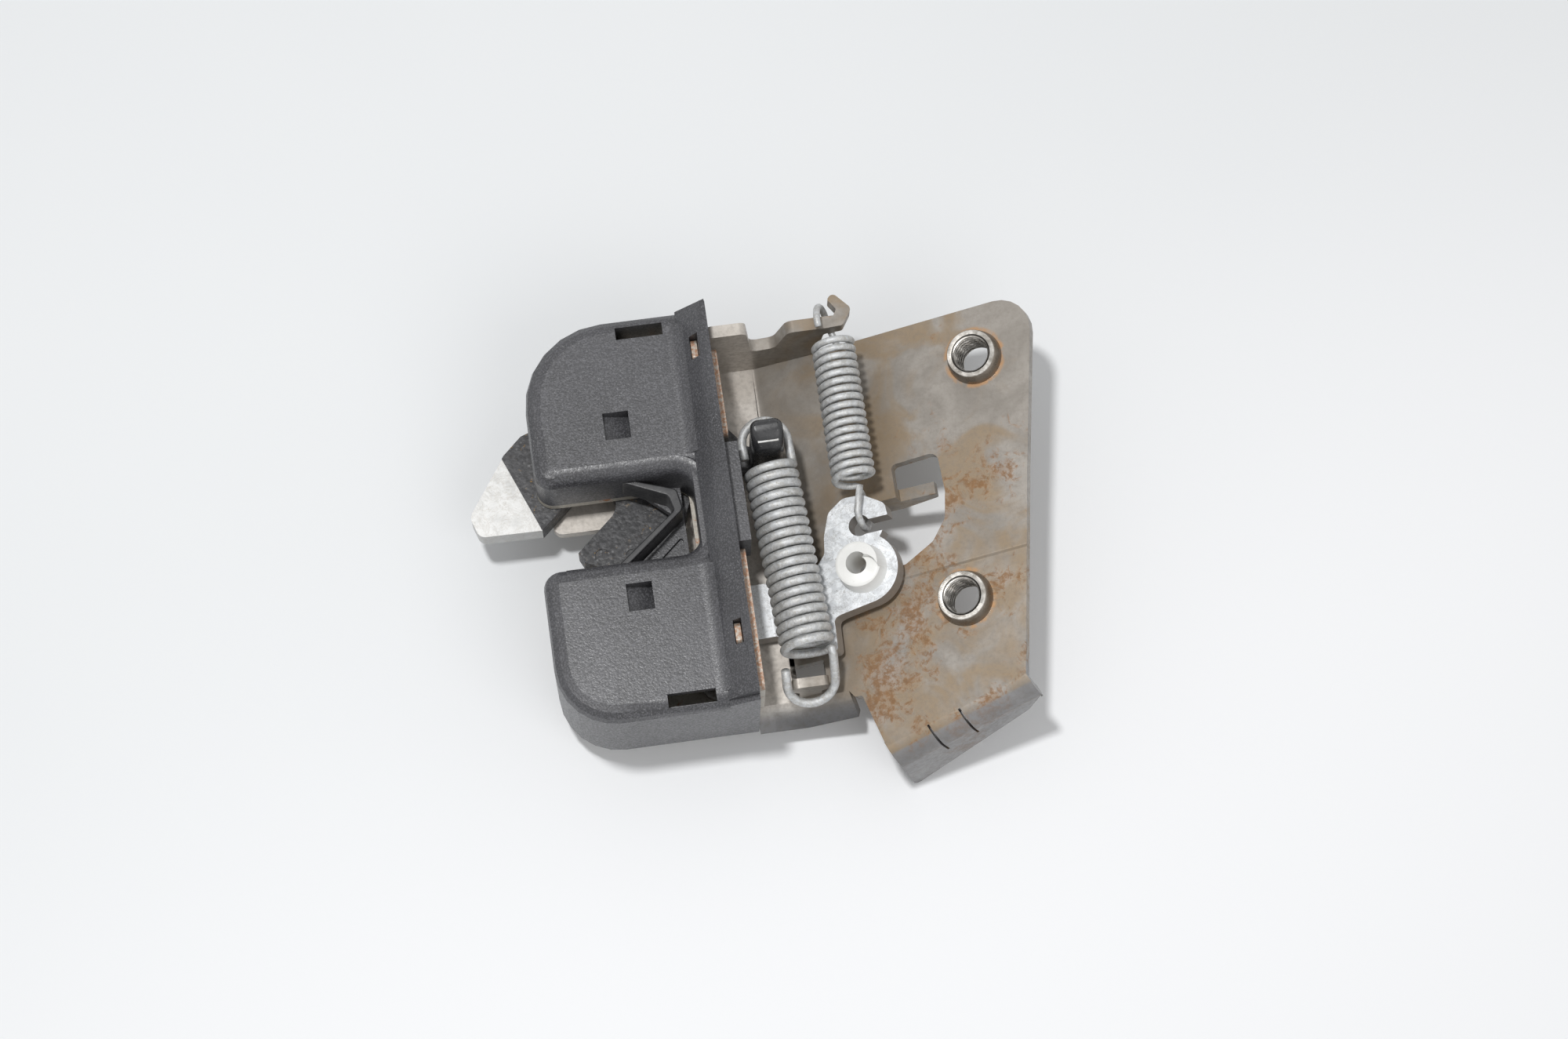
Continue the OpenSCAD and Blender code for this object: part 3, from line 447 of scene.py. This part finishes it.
def milky_plastic():
    """White translucent bush, with a little grime."""
    soft_m = 0.002
    white, grime_tone = ((0.80, 0.80, 0.77), (0.93, 0.93, 0.91)), (0.5, 0.47, 0.42)
    look = Look("milky_plastic")
    look.shader.inputs["Subsurface Weight"].default_value = 0.35
    look.shader.inputs["Subsurface Radius"].default_value = (soft_m, soft_m, soft_m)
    cloud = look.noise(3, detail=3, rough=0.5)
    grime = look.level(look.noise(1.2, detail=5, rough=0.8), 0.62, 0.72, 0.0, 0.35)
    look.bump(cloud, depth=0.05, strength=0.4)
    return look.done(look.mix(grime, look.mix(cloud, *white), grime_tone),
                     look.level(cloud, 0.3, 0.7, 0.28, 0.4))


CLAW = zinc("claw_zinc", dark=(0.46, 0.46, 0.45), light=(0.58, 0.58, 0.57), speck=(0.32, 0.29, 0.25),
            roughness=0.38, metallic=0.4, flake=3.0)
LEVER = zinc("lever_zinc", dark=(0.60, 0.62, 0.64), light=(0.82, 0.84, 0.86), speck=(0.22, 0.20, 0.17),
             roughness=0.42, metallic=0.35, up=(-0.2, 0, 1), cut=(0.30, 0.275, 0.25))
RIVET = zinc("rivet_zinc", dark=(0.30, 0.29, 0.27), light=(0.50, 0.49, 0.47), speck=(0.20, 0.14, 0.09),
             roughness=0.4, metallic=0.7, flake=1.5)
WIRE = zinc("spring_wire", dark=(0.44, 0.45, 0.455), light=(0.62, 0.63, 0.635),
            speck=(0.30, 0.26, 0.18), roughness=0.52, metallic=0.4, flake=1.1)
MILKY = milky_plastic()

MATERIALS = {
    "base_plate": lacquered_steel(),
    "upper_collar": turned_steel("upper_turned", COLLARS[0]),
    "lower_collar": turned_steel("lower_turned", COLLARS[1]),
    "front_plate": front_steel(),
    "cover": grained_plastic("cover_plastic", dark=(0.036, 0.036, 0.039), light=(0.058, 0.058, 0.063),
                             grain=0.42, depth=0.06, roughness=0.36),
    "striker_buffer": smooth_plastic("buffer_rubber", color=(0.016, 0.016, 0.018),
                                     dust=(0.10, 0.10, 0.10), roughness=0.32),
    "claw_plate": CLAW,
    "claw_overmould": grained_plastic("coarse_moulding", dark=(0.018, 0.018, 0.02),
                                      light=(0.034, 0.034, 0.036), grain=0.9, depth=0.12,
                                      roughness=0.5, dirt=(0.36, 0.21, 0.05)),
    "post_sleeve": smooth_plastic("glossy_plastic", color=(0.020, 0.020, 0.022),
                                  dust=(0.15, 0.15, 0.15), roughness=0.24),
    "claw_rivet": RIVET,
    "claw_washer": MILKY,
    "pawl_lever": LEVER,
    "rod_bush": MILKY,
    "pawl_rivet": RIVET,
    "pawl_washer": MILKY,
    "stop_rivet": RIVET,
    "spacer_rivet": RIVET,
    "main_spring": WIRE,
    "return_spring": WIRE,
}

for name, node in frame["nodes"].items():
    node.data.materials.clear()
    node.data.materials.append(MATERIALS[name])

# Pieces


def place(mesh, name, slot, body=ROOT, replaces=()):
    """Object of a finished mesh that rides on a body and stands for CAD nodes."""
    piece = bpy.data.objects.new(name, mesh)
    bpy.context.scene.collection.objects.link(piece)
    mesh.materials.clear()
    mesh.materials.append(MATERIALS[slot])
    if body:
        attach(piece, body)
    if replaces:
        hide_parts(*replaces)
    return piece


def polar(r, angle, z):
    """Point at a radius and an angle round the z axis, and at height z."""
    return Vector((r * math.cos(angle), r * math.sin(angle), z))


def ring_of(form, points):
    """Vertices of one ring of a form."""
    return [form.verts.new(point * MM) for point in points]


def skin(form, rings, closed=False):
    """Faces from ring to ring: back to the first ring if closed, and otherwise with flat ends."""
    ahead = rings[1:] + rings[:1] if closed else rings[1:]
    count = len(rings[0])
    for a, b in zip(rings, ahead):
        for k in range(count):
            n = (k + 1) % count
            form.faces.new((a[k], a[n], b[n], b[k]))
    if not closed:
        form.faces.new(list(reversed(rings[0])))
        form.faces.new(rings[-1])


def shaded(form, name, sharp=None):
    """Mesh of a form, shaded smooth except over edges of more than sharp degrees."""
    bmesh.ops.recalc_face_normals(form, faces=form.faces)
    mesh = bpy.data.meshes.new(name)
    form.to_mesh(mesh)
    form.free()
    for face in mesh.polygons:
        face.use_smooth = True
    if sharp:
        mesh.set_sharp_from_angle(angle=math.radians(sharp))
    return mesh


# Lip's frame: u along its fold, across into the wing and up from it, from the wing's lower corner
LIP_CORNER_M = (15.7 * MM, -48.6 * MM, 0)
LIP_TURN = math.radians(21.5)
LIP_FRAME_M = WING_FRAME_M @ Matrix.Translation(LIP_CORNER_M) @ Matrix.Rotation(LIP_TURN, 4, "Z")

# Lip of the solid: its size, its fold's lap into the wing, and how far its outer face lies outside
# the frame's origin. The fold has three stretches with outer radii of their own, and slits between.
LIP_LEN, LIP_H, LIP_OUT, LAP, SLIT_W = 32.4, 19.0, 4.1, 1.0, 0.5
FIRST_R, SECOND_R, THIRD_R = 4.1, 7.3, 8.1
SECOND_FROM, THIRD_FROM = 9.9, 17.1

# Lip as shown: the whole fold has FIRST_R, its far end reaches down the wing by LOW_END, and the lip
# tapers to a height of LOW_END_H there
LOW_END, LOW_END_H = 3.5, 9.5
TAPER_FROM, TAPER_LEN = -2.0, 29.8

# Room beside the lip and below it in which vertices are still the lip's, and two tolerances: a
# vertex is beside a line within CLOSE, and on a face within ON
LIP_SIDE, LIP_BELOW, CLOSE, ON = 3.0, 0.5, 0.05, 0.01


def shown_place(u, out, down):
    """Where a place of the solid's lip is shown: the fold sharpened to FIRST_R, the lip tapered."""
    fold_r = THIRD_R if u > THIRD_FROM - CLOSE else SECOND_R
    on_flat = min(abs(down), abs(down - SHEET_T)) < ON
    by_slits = SECOND_FROM - SLIT_W - CLOSE < u < THIRD_FROM + 2 * CLOSE
    if by_slits and on_flat and abs(out - SECOND_R) < CLOSE:
        return u, FIRST_R, down
    if u > SECOND_FROM - CLOSE and out > fold_r + 2 * ON:
        return min(u, LIP_LEN), out - (fold_r - FIRST_R), down
    if u > SECOND_FROM - CLOSE and down < fold_r + CLOSE:
        arm = Vector((out - fold_r, down - fold_r))
        arm = arm.normalized() * (arm.length - fold_r + FIRST_R)
        return min(u, LIP_LEN), FIRST_R + arm.x, FIRST_R + arm.y
    if u > 0 and down > THIRD_R + CLOSE:
        share = (down - FIRST_R) / (LIP_H - FIRST_R)
        return u, out, down - share * (LIP_H - LOW_END_H) * (u - TAPER_FROM) / TAPER_LEN
    return u, out, down


def taper_lip(form):
    """Draws the lip's right end out to a sharp, low fold, and tapers the lip towards it."""
    back = LIP_FRAME_M.inverted()
    sink = LIP_FRAME_M.to_3x3().inverted() @ DOWN_WING * LOW_END
    for vert in form.verts:
        u, across, up = (back @ vert.co) / MM
        out, down = across + LIP_OUT, -up
        beside = -LIP_SIDE < u < LIP_LEN + LIP_SIDE and out < THIRD_R + LAP + 2 * CLOSE
        if beside and -CLOSE < down < LIP_H + LIP_BELOW:
            u, out, down = shown_place(u, out, down)
            spot = Vector((u, out - LIP_OUT, -down)) + sink * max(u, 0) / LIP_LEN
            vert.co = LIP_FRAME_M @ (spot * MM)
    bmesh.ops.remove_doubles(form, verts=form.verts, dist=ON * MM)


# In a worn copy, points this close are one and bends under FLAT_BEND degrees are flat, and edges
# within PLAIN_REACH of a plain point aren't worn
SAME_POINT_M, FLAT_BEND, PLAIN_REACH = 1e-6, 0.6, 7.0


def worn_copy(name, width, smooth=32, bend=12, plain=(), reshape=None):
    """Copy of a rigid node whose cut edges are rounded off by width millimetres.

    Edges from bend up to smooth degrees stay as sharp bends, and so do the edges near the plain points.
    """
    mesh = frame["nodes"][name].data.copy()
    form = bmesh.new()
    form.from_mesh(mesh)
    bmesh.ops.remove_doubles(form, verts=form.verts, dist=SAME_POINT_M)
    bmesh.ops.dissolve_limit(form, angle_limit=math.radians(FLAT_BEND), verts=form.verts,
                             edges=form.edges)
    if reshape:
        reshape(form)
    for face in form.faces:
        face.smooth = True
    weight = form.edges.layers.float.new("bevel_weight_edge")
    for edge in form.edges:
        angle = math.degrees(edge.calc_face_angle(0))
        middle = (edge.verts[0].co + edge.verts[1].co) / 2
        cut = angle > smooth and not any((middle - p * MM).length < PLAIN_REACH * MM for p in plain)
        edge[weight] = 1.0 if cut else 0.0
        edge.smooth = cut or angle < bend
    form.to_mesh(mesh)
    form.free()
    piece = place(mesh, name + "_finished", name, frame["nodes"][name]["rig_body"], [name])
    bevel = piece.modifiers.new("edges", "BEVEL")
    bevel.width = width * MM
    bevel.segments = 2
    bevel.limit_method = "WEIGHT"
    bevel.miter_outer = "MITER_ARC"
    weighted = piece.modifiers.new("normals", "WEIGHTED_NORMAL")
    weighted.weight = 100
    weighted.keep_sharp = True


def collar_mesh():
    """Flanged collar with an internal thread, in the wing's frame, its axis on the origin."""
    foot_t, foot_r, neck_r, rim_r, rise = 2.8, 7.0, 5.65, 4.83, 3.0
    crest_r, depth, pitch = 3.42, 0.5, 1.25
    flank, crest_flat = 1.6, 0.3
    foot_edge, rim_edge, top_inset, low_inset, mouth_r = 0.3, 0.12, 0.15, 0.25, 3.9
    around, steps_per_turn = 72, 10
    low, high = -SHEET_T - foot_t, rise
    outside = [(mouth_r + foot_edge, low), (foot_r - foot_edge, low), (foot_r, low + foot_edge),
               (foot_r, -SHEET_T), (neck_r, -SHEET_T), (neck_r, 0.0), (rim_r + rim_edge, rise - rim_edge),
               (rim_r, rise), (mouth_r + top_inset, rise)]
    turn = [k / around for k in range(around)]
    thread_len = high - low - top_inset - low_inset
    count = round(thread_len / pitch * steps_per_turn)
    form = bmesh.new()
    rings = [ring_of(form, [polar(r, math.tau * t, z) for t in turn]) for r, z in outside]
    for i in range(count + 1):
        z = high - top_inset - thread_len * i / count
        points = []
        for t in turn:
            phase = (z / pitch - t) % 1
            groove = min(1.0, max(0.0, flank * (1 - abs(2 * phase - 1)) - crest_flat))
            points.append(polar(crest_r + depth * groove, math.tau * t, z))
        rings.append(ring_of(form, points))
    skin(form, rings, closed=True)
    return shaded(form, "collar", sharp=38)


for name, (collar_s, collar_y) in zip(("upper_collar", "lower_collar"), COLLARS):
    collar = collar_mesh()
    collar.transform(Matrix.Translation(on_wing(collar_s, collar_y, 0) * MM) @ WING_TURN)
    place(collar, name + "_threaded", name, ROOT, [name])

# Springs, on the same lines as the part's, each a path of [point, outward direction] pairs
TURN_STEPS, LEAD_STEPS, EYE_STEP, HOOK_STEP = 28, 4, 12, 10
WIRE_SIDES = 12


def tube(path, radius):
    """Mesh of a round wire along a path, closed at both ends."""
    form = bmesh.new()
    rings = []
    for i, (p, out) in enumerate(path):
        ahead = path[min(i + 1, len(path) - 1)][0] - path[max(i - 1, 0)][0]
        ahead.normalize()
        o = (out - ahead * out.dot(ahead)).normalized()
        q = ahead.cross(o)
        angles = [math.tau * k / WIRE_SIDES for k in range(WIRE_SIDES)]
        rings.append(ring_of(form, [p + radius * (math.cos(a) * o + math.sin(a) * q) for a in angles]))
    skin(form, rings)
    return shaded(form, "wire")


def coil(start, w, u, r, length, turns):
    """Path of a coil of radius r along w, its first point on the side u of the start."""
    v = w.cross(u)
    path = []
    for k in range(turns * TURN_STEPS + 1):
        f = math.tau * k / TURN_STEPS
        o = u * math.cos(f) + v * math.sin(f)
        path.append((start + w * length * k / (turns * TURN_STEPS) + r * o, o))
    return path


def eye(c, w, u, r, lead):
    """Path of an eye of radius r past a coil's end c: a leg of length lead, a half turn, a leg back."""
    path = [(c + w * lead * k / LEAD_STEPS + u * r, u.copy()) for k in range(1, LEAD_STEPS + 1)]
    for t in range(EYE_STEP, 181, EYE_STEP):
        o = u * math.cos(math.radians(t)) + w * math.sin(math.radians(t))
        path.append((c + w * lead + r * o, o))
    path.append((c + w * lead / 2 - u * r, -u))
    return path


# Main spring: the coil's ends, and from its low end the way to the tab that its low eye hangs on
MAIN_LOW, MAIN_HIGH = Vector((25.9, -29.6, 14.3)), Vector((23.7, 8, 16.1))
MAIN_D, MAIN_WIRE, MAIN_TURNS = 11.0, 1.8, 19
TAB_REACH = Vector((0, -5.6, -6.1))
LOW_EYE_WIDER, LOW_EYE_SHORT, HIGH_LEAD = 0.25, 0.95, 5.5


def main_path():
    """Path of the main spring, from its eye on the tab to its eye on the claw's post."""
    r = (MAIN_D - MAIN_WIRE) / 2
    w = (MAIN_HIGH - MAIN_LOW).normalized()
    u = w.cross(Vector((1, 0, 0))).cross(w).normalized()
    low_w = TAB_REACH.normalized()
    low_u = (u - low_w * u.dot(low_w)).normalized()
    low = eye(MAIN_LOW, low_w, low_u, r + LOW_EYE_WIDER, TAB_REACH.length - LOW_EYE_SHORT)
    high = eye(MAIN_HIGH, w, u, r, HIGH_LEAD)
    return low[::-1] + coil(MAIN_LOW, w, u, r, (MAIN_HIGH - MAIN_LOW).length, MAIN_TURNS) + high


# Return spring, in the wing's frame: its coil's line, and the rings of its hook and of its arm's end
SMALL_S, SMALL_LIFT, SMALL_Y = 20.8, 12.0, (2.6, 32.0)
SMALL_D, SMALL_WIRE, SMALL_TURNS = 9.0, 1.4, 17
HOOK_RING, HOOK_RING_R, HOOK_ANGLES = Vector((19.4, -1.05, 4.25)), 4.0, (350, 109)
ARM_RING, ARM_ANGLES = Vector((19.4, 36.0, 12.0)), (250, 69)


def small_path():
    """Path of the return spring, from its hook in the lever's notch to its loop on the arm."""
    r = (SMALL_D - SMALL_WIRE) / 2
    path = []
    for t in range(*HOOK_ANGLES, -HOOK_STEP):
        o = Vector((0, math.cos(math.radians(t)), math.sin(math.radians(t))))
        path.append((HOOK_RING + HOOK_RING_R * o, -o))
    path += coil(Vector((SMALL_S, SMALL_Y[0], SMALL_LIFT)), Vector((0, 1, 0)), Vector((0, 0, -1)), r,
                 SMALL_Y[1] - SMALL_Y[0], SMALL_TURNS)
    for t in range(*ARM_ANGLES, -HOOK_STEP):
        o = Vector((0, -math.cos(math.radians(t)), math.sin(math.radians(t))))
        path.append((ARM_RING + r * o, o))
    turn = WING_FRAME.to_3x3()
    return [(WING_FRAME @ p, turn @ o) for p, o in path]


spring = place(tube(main_path(), MAIN_WIRE / 2), "main_spring_wire", "main_spring", None, ["main_spring"])
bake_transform(spring)
spring = place(tube(small_path(), SMALL_WIRE / 2), "return_spring_wire", "return_spring", None,
               ["return_spring"])
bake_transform(spring)

worn_copy("base_plate", 0.3, reshape=taper_lip,
          plain=[on_wing(s, y, lift) for s, y in COLLARS for lift in (0, -SHEET_T)])
worn_copy("front_plate", 0.25)
worn_copy("cover", 0.35)
worn_copy("claw_plate", 0.3)
worn_copy("claw_overmould", 0.18)
worn_copy("pawl_lever", 0.35)
worn_copy("striker_buffer", 0.3)

# Sleeve over the claw's spring post: its box, the radius that its top is rolled over by towards the
# spring, the roundings at its back and its sides, and its upright corners' radius
SLEEVE_X, SLEEVE_Y, SLEEVE_LOW, SLEEVE_TOP = (20.4, 26.9), (10.0, 16.0), 6.1, 25.0
ROLL_R, BACK_R, SIDE_R, SLEEVE_CORNER_R = 4.6, 1.6, 1.1, 1.7
ROLL_STEP, CORNER_STEP, MOST_OF_DEPTH = 9, 15, 0.45


def rounded_box(x0, x1, y0, y1, z, r):
    """Points of a rectangle at height z, its corners rounded by r."""
    points = []
    for cx, cy, start in ((x1 - r, y1 - r, 0), (x0 + r, y1 - r, 90),
                          (x0 + r, y0 + r, 180), (x1 - r, y0 + r, 270)):
        for a in range(start, start + 91, CORNER_STEP):
            points.append(Vector((cx, cy, 0)) + polar(r, math.radians(a), z))
    return points


def sleeve_inset(z, r):
    """How far a side of the sleeve has drawn in at height z, if its top is rounded by r."""
    over = max(0.0, z - (SLEEVE_TOP - r))
    return r - math.sqrt(max(0.0, r * r - over * over))


def sleeve_mesh():
    """Sleeve over the spring post, its top rolled over towards the spring."""
    heights = [SLEEVE_LOW] + [SLEEVE_TOP - ROLL_R + ROLL_R * math.sin(math.radians(a))
                              for a in range(0, 91, ROLL_STEP)]
    form = bmesh.new()
    rings = []
    for z in heights:
        side = sleeve_inset(z, SIDE_R)
        y0, y1 = SLEEVE_Y[0] + sleeve_inset(z, ROLL_R), SLEEVE_Y[1] - sleeve_inset(z, BACK_R)
        corner_r = min(SLEEVE_CORNER_R, MOST_OF_DEPTH * (y1 - y0))
        rings.append(ring_of(form, rounded_box(SLEEVE_X[0] + side, SLEEVE_X[1] - side, y0, y1, z,
                                               corner_r)))
    skin(form, rings)
    return shaded(form, "sleeve", sharp=40)


place(sleeve_mesh(), "post_sleeve_rolled", "post_sleeve", "claw", ["post_sleeve"])

# Foot of the rod bush, in the wing's frame
BUSH_PLACE = Vector((18.2, -13.7, 2.0))


def snail_mesh():
    """Bush wound round its hole like a snail shell: its top ramps down round the hole to a step."""
    top, plate_t, foot = 9.3, 4.0, -0.8
    top_r, rim_r, neck_r, foot_r, hole_in, hole_out = 4.45, 5.0, 4.0, 4.6, 1.7, 2.4
    top_edge, rim_taper, rim_t = 0.15, 0.1, 0.3
    ramp, twist, start = 1.9, -0.42, 0.9
    around, steps = 72, 8
    same_m = 1e-7
    form = bmesh.new()
    sections = []
    for i in range(around + 1):
        t = i / around
        hole = hole_out + (hole_in - hole_out) * t
        line = [(hole + (top_r - hole) * j / steps, top - ramp * t) for j in range(steps)]
        line += [(top_r, top - ramp * t - top_edge), (rim_r - rim_taper, plate_t + rim_t),
                 (rim_r, plate_t), (neck_r, plate_t), (neck_r, 0), (foot_r, 0)]
        line += [(hole + (foot_r - hole) * j / steps, foot) for j in range(steps, -1, -1)]
        points = []
        for k, (r, z) in enumerate(line):
            wound_r = min(r, top_r) if k <= steps or z == foot else top_r
            points.append(polar(r, start + math.tau * t + twist * (wound_r - hole_in), z))
        sections.append(ring_of(form, points))
    skin(form, sections, closed=True)
    bmesh.ops.remove_doubles(form, verts=form.verts, dist=same_m)
    bmesh.ops.dissolve_degenerate(form, edges=form.edges, dist=same_m)
    mesh = shaded(form, "snail", sharp=38)
    mesh.transform(WING_FRAME_M @ Matrix.Translation(BUSH_PLACE * MM))
    return mesh


place(snail_mesh(), "rod_bush_wound", "rod_bush", "pawl", ["rod_bush"])

# Trim that the plain solids leave out

# Cover's walls, in plan: the striker slot and its rounded edge, which stands proud of the solid
FRONT_TOP, COVER_TOP, EDGE_R = 8.5, 22.0, 3.0
SLOT_IN, SLOT_UP, SLOT_LOW, SLOT_LEFT, CORNER_R = 8.0, 8.6, -8.4, -19.0, 4.0
PROUD = 0.03
PLAN_STEP, EDGE_STEP = 10, 15

# Inner side of the rim, buried in the cover's wall: [in from the slot, z]
RIM_BACK = [(EDGE_R + 0.5, COVER_TOP - 0.3), (EDGE_R - 1.2, COVER_TOP - 1.6), (1.2, FRONT_TOP)]


def slot_rim():
    """Rounded rim of the striker slot, with its inner corners: a section swept along it in plan."""
    path = [((SLOT_LEFT, SLOT_UP), (0, 1))]
    for corner_y, start in ((SLOT_UP - CORNER_R, 90), (SLOT_LOW + CORNER_R, 0)):
        for a in range(start, start - 91, -PLAN_STEP):
            out = (math.cos(math.radians(a)), math.sin(math.radians(a)))
            path.append(((SLOT_IN - CORNER_R + out[0] * CORNER_R, corner_y + out[1] * CORNER_R), out))
    path.append(((SLOT_LEFT, SLOT_LOW), (0, -1)))
    section = [(-PROUD, FRONT_TOP)]
    for a in range(0, 91, EDGE_STEP):
        section.append((EDGE_R - (EDGE_R + PROUD) * math.cos(math.radians(a)),
                        COVER_TOP - EDGE_R + (EDGE_R + PROUD) * math.sin(math.radians(a))))
    section += RIM_BACK
    form = bmesh.new()
    rings = [ring_of(form, [Vector((p[0] + out[0] * o, p[1] + out[1] * o, z)) for o, z in section])
             for p, out in path]
    skin(form, rings)
    return shaded(form, "rim", sharp=40)


place(slot_rim(), "slot_rim", "cover")

# Crease between the cover's top and its raised lip: its line, the lip's edge and the crease's ends
CREASE_X, LIP_X = 9.0, 13.9
LIP_LOW_Y, LIP_TOP_Y, LIP_LOW_Z, LIP_TOP_Z = -39.0, 40.5, 26.0, 29.0
CREASE_TOP_Y, CREASE_LOW_Y = 38.6, -37.2

# Its soft hollow: how far it reaches each way, its lift over the solid, and its root in the wall
SOFT, HOLLOW_LIFT, HOLLOW_ROOT = 2.3, 0.01, Vector((0.3, -0.4))
HOLLOW_STEPS, HOLLOW_SIDES = 12, 8


def soft_crease(y0, y1):
    """Soft hollow along the crease from y0 to y1."""
    form = bmesh.new()
    rings = []
    for i in range(HOLLOW_STEPS + 1):
        y = y0 + (y1 - y0) * i / HOLLOW_STEPS
        lip_z = LIP_LOW_Z + (LIP_TOP_Z - LIP_LOW_Z) * (y - LIP_LOW_Y) / (LIP_TOP_Y - LIP_LOW_Y)
        rise = Vector((LIP_X - CREASE_X, lip_z - COVER_TOP)).normalized()
        corner = Vector((CREASE_X, COVER_TOP + HOLLOW_LIFT))
        start, end = corner - Vector((SOFT, 0)), corner + rise * SOFT
        section = [(1 - u) ** 2 * start + 2 * u * (1 - u) * corner + u ** 2 * end
                   for u in (k / HOLLOW_SIDES for k in range(HOLLOW_SIDES + 1))]
        section.append(corner + HOLLOW_ROOT)
        rings.append(ring_of(form, [Vector((v.x, y, v.y)) for v in section]))
    skin(form, rings)
    return shaded(form, "crease", sharp=40)


place(soft_crease(SLOT_UP + EDGE_R, CREASE_TOP_Y), "upper_crease", "cover")
place(soft_crease(CREASE_LOW_Y, SLOT_LOW - EDGE_R), "lower_crease", "cover")

# Floor, light and camera
FLOOR_HALF, FLOOR_GAP = 2500, 0.02
FLOOR_TONES, FLOOR_PAINTED_LIGHT_TONE = ((0.84, 0.86, 0.875), (0.87, 0.885, 0.895)), (0.94, 0.95, 0.965)
TO_FRONT, PAINTED_LIGHT_FADE = (0.35, -1, 0), (-60, 90)
LAMP_TARGET_M = (0.02, 0, 0)
ROOM_LIGHT = 0.42
LENS, SENSOR, CLIP_M = 76.27, 36, (0.01, 20)
CAMERA_PLACE_M = (-0.014794, -0.193800, 0.643533)
CAMERA_RIGHT, CAMERA_UP = Vector((0.990, -0.1423, 0.0193)), Vector((0.1304, 0.9464, 0.2964))


def floor(z_m):
    """Pale table top at a height, with painted light making it lighter towards the front."""
    half_m = FLOOR_HALF * MM
    mesh = bpy.data.meshes.new("floor")
    mesh.from_pydata([(-half_m, -half_m, z_m), (half_m, -half_m, z_m), (half_m, half_m, z_m),
                      (-half_m, half_m, z_m)], [], [(0, 1, 2, 3)])
    look = Look("floor", roughness=0.75, specular=0.2)
    tone = look.mix(look.noise(90, detail=2), *FLOOR_TONES)
    # Painted light: the table top brightens towards the front
    tone = look.mix(look.level(look.along(TO_FRONT), *PAINTED_LIGHT_FADE), tone, FLOOR_PAINTED_LIGHT_TONE)
    mesh.materials.append(look.done(tone))
    piece = bpy.data.objects.new("floor", mesh)
    bpy.context.scene.collection.objects.link(piece)


def lamp(name, at_m, size_m, watts):
    """Round lamp that shines at the object."""
    data = bpy.data.lights.new(name, "AREA")
    data.shape = "DISK"
    data.size = size_m
    data.energy = watts
    made = bpy.data.objects.new(name, data)
    made.location = at_m
    made.rotation_euler = (Vector(LAMP_TARGET_M) - Vector(at_m)).to_track_quat("-Z", "Y").to_euler()
    bpy.context.scene.collection.objects.link(made)


def world():
    """White room that lights the object softly, and shows as white behind it and in reflections."""
    made = bpy.data.worlds.new("studio")
    made.use_nodes = True
    tree = made.node_tree
    room = tree.nodes["Background"]
    room.inputs["Color"].default_value = (1, 1, 1, 1)
    room.inputs["Strength"].default_value = ROOM_LIGHT
    seen = tree.nodes.new("ShaderNodeBackground")
    seen.inputs["Color"].default_value = (1, 1, 1, 1)
    path = tree.nodes.new("ShaderNodeLightPath")
    total = path.outputs["Is Camera Ray"]
    for output in ("Is Glossy Ray", "Is Transmission Ray"):
        either = tree.nodes.new("ShaderNodeMath")
        either.operation = "MAXIMUM"
        tree.links.new(total, either.inputs[0])
        tree.links.new(path.outputs[output], either.inputs[1])
        total = either.outputs[0]
    mix = tree.nodes.new("ShaderNodeMixShader")
    tree.links.new(total, mix.inputs[0])
    tree.links.new(room.outputs[0], mix.inputs[1])
    tree.links.new(seen.outputs[0], mix.inputs[2])
    tree.links.new(mix.outputs[0], tree.nodes["World Output"].inputs[0])
    bpy.context.scene.world = made


def camera():
    """Camera fitted to the photograph, from its place and the directions right and up in the view."""
    data = bpy.data.cameras.new("camera")
    data.sensor_width = SENSOR
    data.lens = LENS
    data.clip_start, data.clip_end = CLIP_M
    right = CAMERA_RIGHT.normalized()
    up = (CAMERA_UP - right * CAMERA_UP.dot(right)).normalized()
    turn = Matrix((right, up, right.cross(up))).transposed()
    made = bpy.data.objects.new("camera", data)
    made.matrix_world = Matrix.Translation(CAMERA_PLACE_M) @ turn.to_4x4()
    bpy.context.scene.collection.objects.link(made)
    bpy.context.scene.camera = made


floor(cad_box[0].z - FLOOR_GAP * MM)
world()
lamp("key", at_m=(-0.10, 0.02, 0.72), size_m=0.06, watts=2.7)
lamp("fill", at_m=(0.25, -0.45, 0.60), size_m=0.5, watts=0.9)
camera()
bpy.context.scene.view_settings.view_transform = "Standard"
